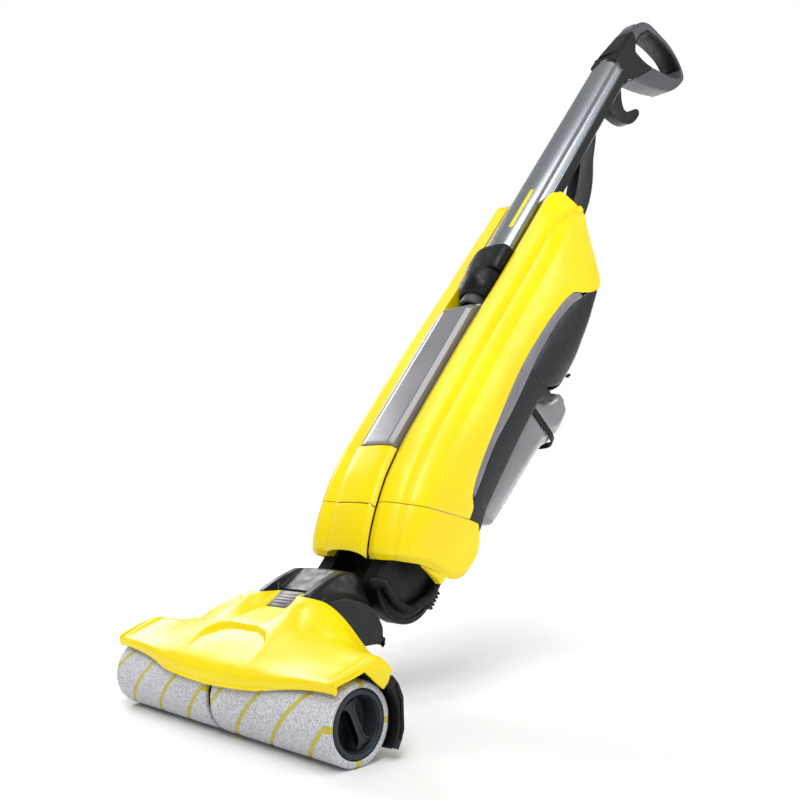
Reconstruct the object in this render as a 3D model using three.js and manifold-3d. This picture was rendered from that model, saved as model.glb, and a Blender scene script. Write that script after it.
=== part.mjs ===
// Wet dry floor scrubber: a twin-roller scrubbing head on a swivelling, tilting neck, a body with a
// front dirty-water tank and a rear fresh-water tank, and a handle tube with a closed loop grip.
// Millimetres, +Z up, machine facing -Y, at its working tilt. Origin on the floor, box centre.
import * as THREE from 'three';
import { mergeVertices } from 'three/addons/utils/BufferGeometryUtils.js';
import Module from 'manifold-3d';

const wasm = await Module();
wasm.setup();

// ---- driving dimensions ----
const GAP = 0.3;                     // running or seating gap between two pieces
const TILT = THREE.MathUtils.degToRad(38.6);     // body leans back from upright
const PIVOT = { y: 172, z: 128 };    // tilt axis, measured from the floor under the rollers
const NECK_SLOPE = THREE.MathUtils.degToRad(35); // neck falls forward from the tilt axis
const ORIGIN_Y = -403.715;            // puts the roller axis ahead of the box centre

const ROLLER = { r: 30.65, end: 150, start: 3.2, core: 25, capWall: 20, hub: 12.6, height: 30.65 };
const HOOD = { half: 157, wall: 3, rows: 6, columns: 36, middleBack: 42, endBack: 26 };
const CHASSIS = { half: 149, arc: 32.6, back: 39, top: 56, bottom: 7, tailHalf: 48, tailBack: 108 };
const GUARD = { outer: 156.5, arc: 32.6 };
const NECK = { r: 16, flange: 20, end: 86, hub: 21, hubHalf: 23 };
const DRUM = { r: 56, wall: 3.5, half: 44, slotHalf: 25 };
const BODY = { wall: 3, well: 29, ridge: 40, half: 76, chamfer: 34, top: 503 };
const TUBE = { half: 23, front: -82, seat: -63, back: -40, bottom: 388, top: 818 };
const TANK = { half: 26, bottom: 82, top: 300, front: -86, back: -50 };
const FRESH = { half: 61, wall: 2.5 };
const GRIP = { half: 15 };

// ---- small geometry helpers ----
const lerp = THREE.MathUtils.lerp;

/** Straight-line interpolation through [position, value] knots. */
function profile(...knots) {
  return position => {
    if (position <= knots[0][0]) return knots[0][1];
    for (let i = 1; i < knots.length; i++) {
      const [p0, v0] = knots[i - 1];
      const [p1, v1] = knots[i];
      if (position <= p1) return lerp(v0, v1, (position - p0) / (p1 - p0));
    }
    return knots[knots.length - 1][1];
  };
}

function box(x0, x1, y0, y1, z0, z1) {
  const g = new THREE.BoxGeometry(x1 - x0, y1 - y0, z1 - z0);
  return g.translate((x0 + x1) / 2, (y0 + y1) / 2, (z0 + z1) / 2);
}

function rodX(r, x0, x1, y, z, sides = 24) {
  const g = new THREE.CylinderGeometry(r, r, x1 - x0, sides).rotateZ(-Math.PI / 2);
  return g.translate((x0 + x1) / 2, y, z);
}

function rodZ(r, x, y, z0, z1, sides = 24) {
  return new THREE.CylinderGeometry(r, r, z1 - z0, sides).rotateX(Math.PI / 2).translate(x, y, (z0 + z1) / 2);
}

/** Solid of revolution about X: profile points are [radius, x], closed on themselves. */
function turnedX(points, y, z, sides = 36) {
  const loop = [...points, points[0]].map(([r, x]) => new THREE.Vector2(r, x));
  const g = new THREE.LatheGeometry(loop, sides).rotateZ(-Math.PI / 2);
  return g.translate(0, y, z);
}

/** Outline in (y, z) pushed along X. */
function prismX(points, x0, x1) {
  const outline = points instanceof THREE.Shape ? points
    : new THREE.Shape(points.map(p => new THREE.Vector2(...p)));
  const g = new THREE.ExtrudeGeometry(outline, { depth: x1 - x0, bevelEnabled: false, curveSegments: 10 });
  const turn = new THREE.Matrix4().set(0, 0, 1, x0, 1, 0, 0, 0, 0, 1, 0, 0, 0, 0, 0, 1);
  return g.applyMatrix4(turn);
}

/** Outline in (x, y) pushed along Z. */
function prismZ(points, z0, z1) {
  const shape = new THREE.Shape(points.map(p => new THREE.Vector2(...p)));
  return new THREE.ExtrudeGeometry(shape, { depth: z1 - z0, bevelEnabled: false }).translate(0, 0, z0);
}

/** A subdivided slab bent into a panel: place(u, v, t) gives each corner's position. */
function panel(columns, rows, place) {
  const g = new THREE.BoxGeometry(1, 1, 1, columns, rows, 1);
  const at = g.attributes.position;
  for (let i = 0; i < at.count; i++) {
    const p = place(at.getX(i) + 0.5, at.getY(i) + 0.5, at.getZ(i) + 0.5);
    at.setXYZ(i, p[0], p[1], p[2]);
  }
  return g;
}

/** Closed welded copy of a geometry whose faces point out. */
function welded(geometry) {
  const g = geometry.clone();
  for (const name of Object.keys(g.attributes)) if (name !== 'position') g.deleteAttribute(name);
  const m = mergeVertices(g, 1e-4);
  const index = Array.from(m.index.array);
  const p = m.attributes.position;
  const kept = [];
  let volume = 0;
  const a = new THREE.Vector3();
  const b = new THREE.Vector3();
  const c = new THREE.Vector3();
  for (let i = 0; i < index.length; i += 3) {
    const [ia, ib, ic] = index.slice(i, i + 3);
    if (ia === ib || ib === ic || ia === ic) continue;
    kept.push(ia, ib, ic);
    b.fromBufferAttribute(p, ib).cross(c.fromBufferAttribute(p, ic));
    volume += a.fromBufferAttribute(p, ia).dot(b);
  }
  if (volume < 0) kept.reverse();
  m.setIndex(kept);
  return m;
}

function solid(geometry) {
  const g = welded(geometry);
  const mesh = new wasm.Mesh({
    numProp: 3,
    vertProperties: new Float32Array(g.attributes.position.array),
    triVerts: new Uint32Array(g.index.array),
  });
  return new wasm.Manifold(mesh);
}

function geometryOf(body) {
  const mesh = body.getMesh();
  const g = new THREE.BufferGeometry();
  g.setAttribute('position', new THREE.BufferAttribute(new Float32Array(mesh.vertProperties), 3));
  g.setIndex(new THREE.BufferAttribute(new Uint32Array(mesh.triVerts), 1));
  return g;
}

const cut = (base, ...tools) => geometryOf(tools.reduce((s, t) => s.subtract(solid(t)), solid(base)));
const join = (base, ...more) => geometryOf(more.reduce((s, t) => s.add(solid(t)), solid(base)));
const mirrorX = geometry => geometry.clone().scale(-1, 1, 1);

// ---- materials ----
const paint = (color, roughness, metalness = 0) =>
  new THREE.MeshStandardMaterial({ color, roughness, metalness });
const YELLOW = paint(0xfae800, 0.3);
const BLACK = paint(0x17191c, 0.45);
const CHARCOAL = paint(0x252b2d, 0.5);
const GREY = paint(0x7e7c86, 0.5);
const DARK_GREY = paint(0x55555a, 0.55);
const CLEAR = paint(0xa9a6a9, 0.15);
const SILVER = paint(0xb8bcc2, 0.3, 0.9);
const STEEL = paint(0x9aa0a6, 0.3, 1);
const FABRIC = paint(0xc9c9cf, 0.95);
const RUBBER = paint(0x1c1c1e, 0.8);
const CIRCUIT = paint(0x1f5a38, 0.6);

const machine = new THREE.Group();
machine.position.y = ORIGIN_Y;
const head = new THREE.Group();
const body = new THREE.Group();
body.position.set(0, PIVOT.y, PIVOT.z);
body.rotation.x = -TILT;
machine.add(head, body);

function add(group, name, geometry, material) {
  const mesh = new THREE.Mesh(welded(geometry), material);
  mesh.name = name;
  group.add(mesh);
}

/** The same piece on the right (+X) and, mirrored, on the left. */
function addPair(group, name, geometry, material) {
  add(group, `${name}_right`, geometry, material);
  add(group, `${name}_left`, mirrorX(geometry), material);
}

// ---- scrubbing rollers ----
const AXLE = [0, ROLLER.height];

function rollerSleeve() {
  const { r, start, end, core } = ROLLER;
  const inner = core + GAP;
  return turnedX([[inner, start], [r - 2, start], [r, start + 3], [r, end - 4], [r - 2.5, end - 0.6],
    [inner + 1, end - 0.6], [inner, end - 2]], ...AXLE, 40);
}

function rollerCore() {
  return turnedX([[ROLLER.hub + GAP, 9], [ROLLER.core, 9], [ROLLER.core, 127.7], [ROLLER.hub + GAP, 127.7]],
    ...AXLE);
}

function rollerEndCap() {
  const { core, capWall } = ROLLER;
  return turnedX([[0, 128], [core, 128], [core, 147], [core - 1.6, 149.4], [capWall, 149.4], [capWall, 131],
    [0, 131]], ...AXLE);
}

function rollerPullBar() {
  const reach = ROLLER.capWall - 2.4;
  const bar = box(131 + GAP, 147, -3.2, 3.2, -reach, reach);
  const foot = side => box(131 + GAP, 147, -7, 7, side * (reach - 2) - 2, side * (reach - 2) + 2);
  return join(bar, foot(1), foot(-1)).rotateX(Math.PI / 7).translate(0, ...AXLE);
}

addPair(head, 'roller_sleeve', rollerSleeve(), FABRIC);
addPair(head, 'roller_core', rollerCore(), CHARCOAL);
addPair(head, 'roller_end_cap', rollerEndCap(), CHARCOAL);
addPair(head, 'roller_pull_bar', rollerPullBar(), CHARCOAL);

// ---- roller drive ----
const MOTOR = { y: 66, z: 36, r: 14, left: 12, right: 40, pulley: 9 };
const BELT = { half: 1, pulley: 12, thick: 1.4, armHalf: 2.5 };

const driveHub = () => turnedX([[4 + GAP, 6.6], [ROLLER.hub, 6.6], [ROLLER.hub, 58], [4 + GAP, 58]], ...AXLE);
const pulley = (r, y, z) => rodX(r, -BELT.half, BELT.half, y, z, 32);

/** Straight-sided loop around both pulleys. */
function beltOutline(offset) {
  const run = Math.hypot(MOTOR.y - AXLE[0], MOTOR.z - AXLE[1]);
  const lean = Math.atan2(MOTOR.z - AXLE[1], MOTOR.y - AXLE[0]);
  const wrap = Math.acos((BELT.pulley - MOTOR.pulley) / run);
  const shape = new THREE.Path();
  shape.absarc(AXLE[0], AXLE[1], BELT.pulley + offset, lean + wrap, lean - wrap + 2 * Math.PI, false);
  shape.absarc(MOTOR.y, MOTOR.z, MOTOR.pulley + offset, lean - wrap, lean + wrap, false);
  return shape.getPoints(16);
}

function driveBelt() {
  const shape = new THREE.Shape(beltOutline(GAP + BELT.thick));
  shape.holes.push(new THREE.Path(beltOutline(GAP)));
  return prismX(shape, -BELT.half, BELT.half);
}

function beltArm() {
  const outline = beltOutline(GAP * 2 + BELT.thick + 2);
  const plate = prismX(new THREE.Shape(outline), -BELT.armHalf, BELT.half + GAP);
  const pocket = prismX(new THREE.Shape(beltOutline(GAP * 2 + BELT.thick)), -BELT.half - GAP, 10);
  return cut(plate, pocket, rodX(4 + GAP, -9, 9, ...AXLE));
}

function beltArmCover() {
  const outline = beltOutline(GAP * 2 + BELT.thick + 2);
  const plate = prismX(new THREE.Shape(outline), BELT.half + 2 * GAP, BELT.armHalf);
  return cut(plate, rodX(4 + GAP, 0, 9, ...AXLE), rodX(3 + GAP, 0, 9, MOTOR.y, MOTOR.z));
}

add(head, 'drive_shaft', cut(rodX(4, -57, 57, ...AXLE), box(-57.5, -56, -9, 9, 20, 25)), STEEL);
addPair(head, 'drive_hub', driveHub(), BLACK);
add(head, 'roller_pulley', cut(pulley(BELT.pulley, ...AXLE), rodX(4 + GAP, -9, 9, ...AXLE)), BLACK);
add(head, 'drive_belt', driveBelt(), RUBBER);
add(head, 'belt_arm', beltArm(), BLACK);
add(head, 'belt_arm_cover', beltArmCover(), BLACK);
add(head, 'motor_pulley', join(pulley(MOTOR.pulley, MOTOR.y, MOTOR.z),
  rodX(3, 0, MOTOR.left - GAP, MOTOR.y, MOTOR.z, 16)), STEEL);
add(head, 'roller_motor', rodX(MOTOR.r, MOTOR.left, MOTOR.right, MOTOR.y, MOTOR.z), STEEL);

// ---- chassis, guards, scraper ----
/** Arc of the roller tunnel, from its top round the back to near the floor, in (y, z). */
function tunnelArc(radius, from, to, steps = 8) {
  const points = [];
  for (let i = 0; i <= steps; i++) {
    const angle = THREE.MathUtils.degToRad(lerp(from, to, i / steps));
    points.push([AXLE[0] + radius * Math.cos(angle), AXLE[1] + radius * Math.sin(angle)]);
  }
  return points;
}

function headChassis() {
  const { back, top, bottom, arc, half, tailHalf, tailBack } = CHASSIS;
  const beam = [...tunnelArc(arc, 62, -40), [33, bottom], [back - 2, bottom + 8], [back, top - 14],
    [34, top + 4],
    [20, top + 8]];
  const tail = [[35, bottom + 8], [tailBack - 12, bottom + 8], [tailBack, bottom + 18], [tailBack, top - 2],
    [tailBack - 4, top + 2], [35, top + 2]];
  const room = box(MOTOR.left - 3, MOTOR.right + 3, 44, 84, bottom + 10, top + 20);
  const armSlot = box(-BELT.armHalf - 1, MOTOR.left - 2, -9, 84, bottom + 10, top + 20);
  const duct = box(-tailHalf + 4, -10, 44, 96, bottom + 12, top + 20);
  const lipSeat = prismX([[19.4, 54.6], [22.4, 53.2], [28, 60.6], [28, 70], [25, 70], [25, 62.4]], -145, 145);
  const whole = join(prismX(beam, -half, half), prismX(tail, -tailHalf, tailHalf));
  return cut(whole, room, armSlot, duct, lipSeat);
}

function sideGuard() {
  const outline = [...tunnelArc(GUARD.arc, 75, -40), [33, 8], [39, 18], [38, 46], [28, 62], [14, 66]];
  return prismX(outline, CHASSIS.half + GAP, GUARD.outer);
}

/** Rubber lip that wrings the sleeves, standing on the chassis above the tunnel. */
const scraperStrip = () =>
  prismX([[20.6, 55.4], [22.2, 54.6], [27.5, 61.2], [27.5, 64], [25.5, 64], [25.5, 62]], -144, 144);

add(head, 'head_chassis', headChassis(), BLACK);
add(head, 'scraper_strip', scraperStrip(), RUBBER);
addPair(head, 'side_guard', sideGuard(), BLACK);

// ---- hood ----
const hoodLipZ = profile([0, 46], [60, 50], [120, 56], [HOOD.half, 59]);
const hoodSpread = x => THREE.MathUtils.smoothstep(Math.abs(x) / HOOD.half, 0.24, 0.8);
const hoodDip = x => 1 - THREE.MathUtils.smoothstep(Math.abs(x), 15, 36);
const hoodBackY = profile([0, 60], [17.4, 60], [26.2, 42], [40, 42], [56, 50], [80, 53], [110, 49], [140, 38],
  [HOOD.half, HOOD.endBack]);
const HOOD_MIDDLE = [[-33, 46], [-31, 60], [-16, 75], [4, 88], [22, 98], [34, 105], [42, 108]];
const HOOD_DIP = [[-33, 46], [-31, 60], [-16, 72], [4, 81], [20, 88], [34, 94.5], [42, 99]];
const HOOD_END = [[-27, 59], [-26, 65], [-15, 69], [-2, 73], [10, 77], [18, 74], [26, 66]];

function hoodPoint(x, v) {
  const step = v * HOOD.rows;
  const i = Math.min(HOOD.rows - 1, Math.floor(step));
  const w = hoodSpread(x);
  const along = outline => [0, 1].map(k => lerp(outline[i][k], outline[i + 1][k], step - i));
  const [ym, zPlain] = along(HOOD_MIDDLE);
  const [ye, ze] = along(HOOD_END);
  const dip = hoodDip(x);
  const zm = lerp(zPlain, along(HOOD_DIP)[1] + 9.6 * v ** 6, dip);
  const lift = (1 - v) ** 4;
  const reach = hoodBackY(Math.abs(x)) - lerp(HOOD.middleBack, HOOD.endBack, w);
  return [lerp(ym, ye, w) + reach * v * v, lerp(lerp(zm, ze, w), hoodLipZ(Math.abs(x)), lift)];
}

function rollerHood() {
  const thin = HOOD.wall;
  const skin = panel(HOOD.columns, HOOD.rows, (u, v, t) => {
    const x = lerp(-HOOD.half, HOOD.half, u);
    const [y, z] = hoodPoint(x, v);
    const [y1, z1] = hoodPoint(x, Math.min(1, v + 0.05));
    const [y0, z0] = hoodPoint(x, Math.max(0, v - 0.05));
    const size = Math.hypot(y1 - y0, z1 - z0);
    const inward = (1 - t) * thin;
    return [x, y + inward * (z1 - z0) / size, z - inward * (y1 - y0) / size];
  });
  return cut(skin, releaseButton(GAP * 2, 20));
}

/** Wedge-shaped push button, narrower in front; grow and tall turn it into its own slot. */
function releaseButton(grow, tall) {
  const front = 38.6 - grow;
  const back = 60 + grow * 4;
  const half = 17.4 + grow * 1.5;
  const side = [[front, 91.6 - tall], [back, 103.4 - tall], [back, 109 + tall], [front, 97.4 + tall]];
  const g = prismX(side, -half, half);
  const at = g.attributes.position;
  for (let i = 0; i < at.count; i++) if (at.getY(i) < 50) at.setX(i, at.getX(i) * 0.73);
  return g;
}

add(head, 'roller_hood', rollerHood(), YELLOW);
add(head, 'hood_release_button', releaseButton(0, 0), GREY);

// ---- neck cover, swivel, neck ----
/** A cylinder on the neck axis, from one distance to another ahead of the tilt axis. */
function neckRod(r, from, to, sides = 28) {
  const g = new THREE.CylinderGeometry(r, r, to - from, sides).translate(0, (from + to) / 2, 0);
  g.rotateX(Math.PI + NECK_SLOPE);
  return g.translate(0, PIVOT.y, PIVOT.z);
}

function neckCover() {
  const outline = [[44.5, 62], [44.5, 107], [74, 123], [97, 127], [113, 112], [125, 82], [125, 62]];
  const inner = [[47.5, 50], [47.5, 105], [75, 120], [96, 123.6], [110, 110], [121.6, 81], [121.6, 50]];
  const shell = solid(prismX(outline, -37, 37)).subtract(solid(prismX(inner, -33.5, 33.5)));
  const flare = solid(prismX([[57, 62], [57, 104], [66, 106], [112, 96], [122, 76], [122, 62]], -50, 50));
  const flareSide = [[60, 50], [60, 101], [66, 103], [110, 93], [118.6, 75], [118.6, 50]];
  const flareRoom = solid(prismX(flareSide, -47, 47));
  const room = solid(prismX(inner, -33.5, 33.5));
  const hole = solid(neckRod(NECK.r + 6.5, 30, 62 + 20));
  const hollow = shell.add(flare.subtract(flareRoom)).subtract(room).subtract(flareRoom);
  const notch = solid(box(-27.2, 27.2, 40, 62, 60, 140));
  const brow = solid(box(-29, 29, 62, 64.4, 100, 116.4));
  return geometryOf(hollow.subtract(notch).add(brow).subtract(hole));
}

function swivelCollar() {
  return cut(neckRod(NECK.r + 6, 54, 76), neckRod(NECK.r + GAP, 40, 90));
}

function neck() {
  const arm = solid(neckRod(NECK.r, 12, NECK.end)).add(solid(neckRod(NECK.flange, 78, NECK.end)));
  const hub = solid(rodX(NECK.hub, -NECK.hubHalf, NECK.hubHalf, PIVOT.y, PIVOT.z, 32));
  const bore = solid(rodX(7 + GAP, -60, 60, PIVOT.y, PIVOT.z));
  const duct = solid(neckRod(9, 26, NECK.end + 2));
  return geometryOf(arm.add(hub).subtract(bore).subtract(duct));
}

add(head, 'neck_cover', neckCover(), CHARCOAL);
add(head, 'swivel_collar', swivelCollar(), BLACK);
add(head, 'neck', neck(), BLACK);

// ---- body outline: functions of the distance z up the body, y to the rear ----
const frontY = profile([-30, -44], [-18, -53], [0, -62], [26, -71], [56, -78], [107, -82], [215, -82],
  [346, -79],
  [445, -77], [BODY.top, -69]);
const halfWidth = profile([-30, 66], [0, 72], [40, 75], [120, BODY.half], [380, BODY.half], [440, 70],
  [BODY.top, 52]);
const seamZ = y => 61 + 0.5 * (y - 8);
const rimZ = profile([-60, -27], [-48, -25], [-35, -18], [-11, -5], [10, 2], [20, 14]);
const shellBackY = profile([20, 10], [71, 5], [83, -5], [106, -12], [156, -18], [243, -24], [306, -20],
  [347, -14],
  [380, -5], [400, 12], [424, 30], [441, 36], [459, 12], [496, -26], [BODY.top, -34]);
const casingY = profile([60, 6], [93, 2], [156, -5], [197, -4], [274, -6], [327, -3], [373, 6], [400, 18]);
const backY = profile([250, 66], [297, 73], [340, 76], [369, 72], [430, 53], [446, 42]);

/** Section of one side shell at z: well wall, front lip, chamfer, side, as [x, y] points. */
function shellSection(z, inset) {
  const f = frontY(z);
  const w = halfWidth(z);
  const chamferY = f + BODY.chamfer;
  const middle = (BODY.ridge + w) / 2 + 5;
  return [
    [BODY.well + inset, f + 36], [BODY.well + inset, f + 1.5 + inset], [BODY.ridge - inset * 0.3, f + inset],
    [middle - inset * 0.7, f + 13 + inset * 0.7], [w - inset, chamferY + inset * 0.4],
    [w - inset, Math.max(lerp(chamferY, shellBackY(z), 0.5), chamferY + 0.7)],
    [w - inset, Math.max(shellBackY(z), chamferY + 1.4)],
  ];
}

function sideShell(lowZ, highZ, rows) {
  const columns = 6;
  return panel(columns, rows, (u, v, t) => {
    const i = Math.round(u * columns);
    const guessY = shellSection(60, 0)[i][1];
    const bottom = lowZ(guessY);
    const top = highZ(guessY);
    const z = lerp(bottom, top, v);
    const [x, y] = shellSection(z, (1 - t) * BODY.wall)[i];
    return [x, y, z];
  });
}

const seamGap = 0.4;
addPair(body, 'upper_shell', sideShell(y => seamZ(y) + seamGap, () => BODY.top, 16), YELLOW);

/** The ear hangs below the lower casing beside the tilt axis. */
function lowerCasing() {
  const side = solid(sideShell(y => rimZ(y), y => seamZ(y) - seamGap, 5));
  const ear = solid(prismX([[-8, -3], [26, 26], [26, 0], [22, -6]], 62, 70));
  return geometryOf(side.add(ear));
}
addPair(body, 'lower_casing', lowerCasing(), YELLOW);

/** Centre cover between the two wells; z follows the front line. */
function centreCover(z0, z1, rows) {
  const half = BODY.well - 1;
  return panel(4, rows, (u, v, t) => {
    const z = lerp(z0, z1, v);
    const x = lerp(-half, half, u);
    const crown = 5 * (1 - (x / half) ** 2);
    return [x, frontY(z) - crown + 1.5 + (1 - t) * BODY.wall, z];
  });
}
add(body, 'front_cover_lower', centreCover(-28, 18.6, 4), YELLOW);
add(body, 'front_cover_upper', centreCover(19.4, 81.6, 4), YELLOW);

// ---- dirty water tank behind the front window ----
function dirtyTank() {
  const { half, bottom, top, front, back } = TANK;
  const outline = [[front, bottom], [front, top - 22], [front + 6, top - 4], [front + 16, top], [back, top],
    [back, bottom]];
  const wall = 2.5;
  const room = [[front + wall, bottom + 3], [front + wall, top - 22], [back - wall, top - 22],
    [back - wall, bottom + 3]];
  const bungHole = rodZ(9, 0, -64, top - 30, top + 9);
  return cut(prismX(outline, -half, half), prismX(room, -half + wall, half - wall), bungHole);
}
add(body, 'dirty_water_tank', dirtyTank(), CLEAR);
add(body, 'dirty_tank_bung', rodZ(9 - GAP, 0, -64, TANK.top - 21, TANK.top + 2, 20), RUBBER);
add(body, 'tank_float', rodZ(7, 0, -68, 150, 172, 16), GREY);

// ---- spine and yoke ----
function spine() {
  const channel = box(-27, 27, -46, -14, 64, 326);
  const room = box(-23.5, 23.5, -43, -8, 68, 322);
  const plate = x => prismX([[-13, 66], [-15, 0], [0, -13], [15, 0], [0, 30], [-4, 66]], x, x + 5);
  const floor = box(-31, 31, -42, -6, 64, 68);
  return cut(join(cut(channel, room), plate(26), plate(-31), floor), rodX(7 + GAP, -60, 60, 0, 0));
}
add(body, 'spine', spine(), BLACK);
add(body, 'tilt_pin', rodX(7, -33, 33, 0, 0), STEEL);

/** Rounded underside around the tilt axis, open at the top, slotted for the neck. */
function jointDrum() {
  const inner = DRUM.half - 3;
  const ring = cut(rodX(DRUM.r, -DRUM.half, DRUM.half, 0, 0, 40),
    rodX(DRUM.r - DRUM.wall, -inner, inner, 0, 0, 40));
  const top = box(-99, 99, -99, 99, 6, 99);
  const front = box(-99, 99, -99, -40, -99, 99);
  const slot = box(-DRUM.slotHalf, DRUM.slotHalf, -99, 40, -99, 20);
  return cut(ring, top, front, slot);
}
add(body, 'joint_drum', jointDrum(), BLACK);

// ---- rear casing, trims, side panels ----
function casingCheek() {
  const outline = [[20, 24], [36, 30], [38, 60], [30, 96], [30, 200], [33, 244], [46, 256], [50, 262]];
  for (const z of [262, 230, 197, 156, 110, 93, 70]) outline.push([casingY(z) + 1, z]);
  return prismX(outline, 66, 69.6);
}

function rearCasing() {
  const skin = panel(8, 7, (u, v, t) => {
    const i = Math.round(Math.abs(u - 0.5) * 8);
    const z = lerp([300, 300, 282, 253, 253][i], 446, v);
    const inset = (1 - t) * BODY.wall;
    const w = halfWidth(z) - 5;
    const knots = [[0, backY(z) - inset], [48 - inset, backY(z) - inset],
      [w - 6 - inset, backY(z) - 16 - inset],
      [w - inset, (backY(z) + casingY(z)) / 2], [w - inset, casingY(z) + 1]];
    return [Math.sign(u - 0.5) * knots[i][0], knots[i][1], z];
  });
  return join(skin, casingCheek(), mirrorX(casingCheek()));
}

function trimBand() {
  return panel(1, 12, (u, v, t) => {
    const z = lerp(84, 392, v);
    const y0 = shellBackY(z) + 1.4;
    const y1 = Math.max(casingY(z) + 0.6, y0 + 3);
    return [halfWidth(z) - 0.6 - (1 - t) * 3, lerp(y0, y1, u), z];
  });
}
add(body, 'rear_casing', rearCasing(), BLACK);
addPair(body, 'trim_band', trimBand(), GREY);

// ---- fresh water tank ----
const FRESH_OUTLINE = [[12, 84], [60, 92], [78, 214], [90, 232], [92, 244], [91, 270], [89, 286], [62, 286],
  [34, 247],
  [12, 247]];

function freshTank() {
  const { half, wall } = FRESH;
  const room = [[14.5, 88], [58, 96], [75.5, 215], [87, 233], [89.4, 244], [88.4, 270], [86.6, 283.5],
    [63.4, 283.5],
    [35.4, 244.5], [14.5, 244.5]];
  const neckHole = rodZ(8.5, 0, 77, 270, 290, 20);
  return cut(prismX(FRESH_OUTLINE, -half, half), prismX(room, -half + wall, half - wall), neckHole);
}

function tankStrap() {
  const outline = [[36, 228], [95, 228], [95, 236], [36, 236]];
  const room = box(-FRESH.half - GAP, FRESH.half + GAP, 10, 92 + GAP, 200, 280);
  return cut(prismX(outline, -FRESH.half - 2.5, FRESH.half + 2.5), room);
}
add(body, 'fresh_water_tank', freshTank(), CLEAR);
add(body, 'tank_strap', tankStrap(), BLACK);

// ---- working parts inside the body ----
add(body, 'suction_motor', rodZ(30, 0, 26, 300, 352, 28), STEEL);
add(body, 'suction_fan', join(rodZ(28, 0, 26, 366, 380, 28), rodZ(5, 0, 26, 352 + GAP, 384, 16)), DARK_GREY);
add(body, 'water_pump', join(box(-58, -36, -38, -16, 110, 150), rodZ(6, -47, -27, 145, 160, 16)), DARK_GREY);
add(body, 'circuit_board', box(34, 36, -40, -2, 120, 200), CIRCUIT);

// ---- handle ----
function handleTube() {
  const { half, front, seat } = TUBE;
  const outline = [[-half, seat], [-half, front + 7], [-half + 3, front + 2.6], [-half + 9, front],
    [half - 9, front],
    [half - 3, front + 2.6], [half, front + 7], [half, seat]];
  const room = outline.map(([x, y]) => [x * 0.9, lerp(y, -72, 0.18)]);
  return cut(prismZ(outline, TUBE.bottom, TUBE.top), prismZ(room, TUBE.bottom - 1, TUBE.top + 1));
}

function rearChannel() {
  const { half, seat, back } = TUBE;
  const outline = [[-half + 2, seat + GAP], [half - 2, seat + GAP], [half - 4, back - 3], [half - 9, back],
    [-half + 9, back], [-half + 4, back - 3]];
  return prismZ(outline, 400, TUBE.top);
}

function tubeCollar() {
  const ring = solid(prismZ([[-28, -88], [28, -88], [28, -48], [-28, -48]], 368, TUBE.bottom - GAP))
    .add(solid(rodZ(24, 0, -64, 330, 369)));
  return geometryOf(ring.subtract(solid(rodZ(15 + GAP, 0, -64, 300, 400))));
}
add(body, 'handle_tube', handleTube(), SILVER);
add(body, 'rear_channel', rearChannel(), BLACK);
add(body, 'tube_collar', tubeCollar(), BLACK);
add(body, 'inner_tube', cut(rodZ(15, 0, -64, TANK.top + 3, 386), rodZ(12, 0, -64, 290, 400)), DARK_GREY);

// ---- grip ----
const GRIP_OUTER = [[-82, 819], [-81, 852], [-77, 886], [-75.5, 909], [-70, 940], [-57, 962], [-28, 981],
  [8, 999], [37, 1004], [57, 1000], [64, 990], [61, 970], [50, 938], [34, 914], [5, 879], [-17, 856],
  [-31, 840], [-40, 826], [-40, 819]];
const GRIP_HOLE = [[-50, 886], [-58, 899], [-57, 920], [-49, 945], [-30, 961], [-6, 977], [22, 989.5],
  [44, 992], [54, 984], [38, 956], [23, 941], [-3, 916], [-28, 897]];

/** Closed loop grip: a black neck and inner wall under a grey cover round the top, tip and back. */
function grip() {
  const cover = [[-95, 905], [-62, 900], [-61.2, 921], [-52.8, 948], [-32, 965.4], [-8, 981.2], [21, 993.8],
    [45, 996.2], [44, 983], [36, 965], [10, 938], [-6, 924], [-30, 842], [-10, 820], [90, 820], [90, 1040],
    [-95, 1040]];
  const whole = solid(prismX(GRIP_OUTER, -GRIP.half, GRIP.half)).subtract(solid(prismX(GRIP_HOLE, -40, 40)));
  const skin = solid(prismX(cover, -40, 40));
  const shifts = [[GAP, GAP], [-GAP, GAP], [GAP, -GAP], [-GAP, -GAP]];
  const core = shifts.reduce((left, [dy, dz]) => left.subtract(skin.translate([0, dy, dz])), whole);
  return { core, cover: whole.intersect(skin) };
}

const BUTTON = { back: -63, bottom: 916, top: 936, half: 8 };
const buttonWell = grow => box(-BUTTON.half - grow, BUTTON.half + grow, -90, BUTTON.back + 2 * grow,
  BUTTON.bottom - grow, BUTTON.top + grow);
const powerButton = () => prismX([[-77, BUTTON.bottom], [BUTTON.back, BUTTON.bottom],
  [BUTTON.back, BUTTON.top], [-73.4, BUTTON.top]], -BUTTON.half, BUTTON.half);
const gripParts = grip();
add(body, 'grip_core', geometryOf(gripParts.core.subtract(solid(buttonWell(GAP * 2)))), BLACK);
add(body, 'grip_cover', geometryOf(gripParts.cover.subtract(solid(buttonWell(GAP * 2)))), DARK_GREY);
add(body, 'power_button', powerButton(), GREY);

/** Cable hook: a turning boss on the rear channel with an upturned finger. */
function cableHook() {
  const finger = prismX([[-39, 764], [-34, 758], [-20, 762], [2, 778], [16, 800], [20, 826], [14, 832],
    [8, 826],
    [2, 808], [-10, 796], [-22, 800], [-32, 810], [-39, 816]], -8, 8);
  return join(finger, prismX([[-39.4, 764], [-36, 764], [-36, 816], [-39.4, 816]], -10, 10));
}

/** Carry handle: a bowed strut from the rear channel down to the top of the rear casing. */
function carryHandle() {
  return prismX([[-39.6, 690], [-39.6, 640], [-33, 622], [-18, 588], [-14, 560], [-14, 470], [16, 470],
    [17, 560],
    [12, 600], [0, 632], [-18, 660], [-32, 690]], -9, 9);
}

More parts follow.
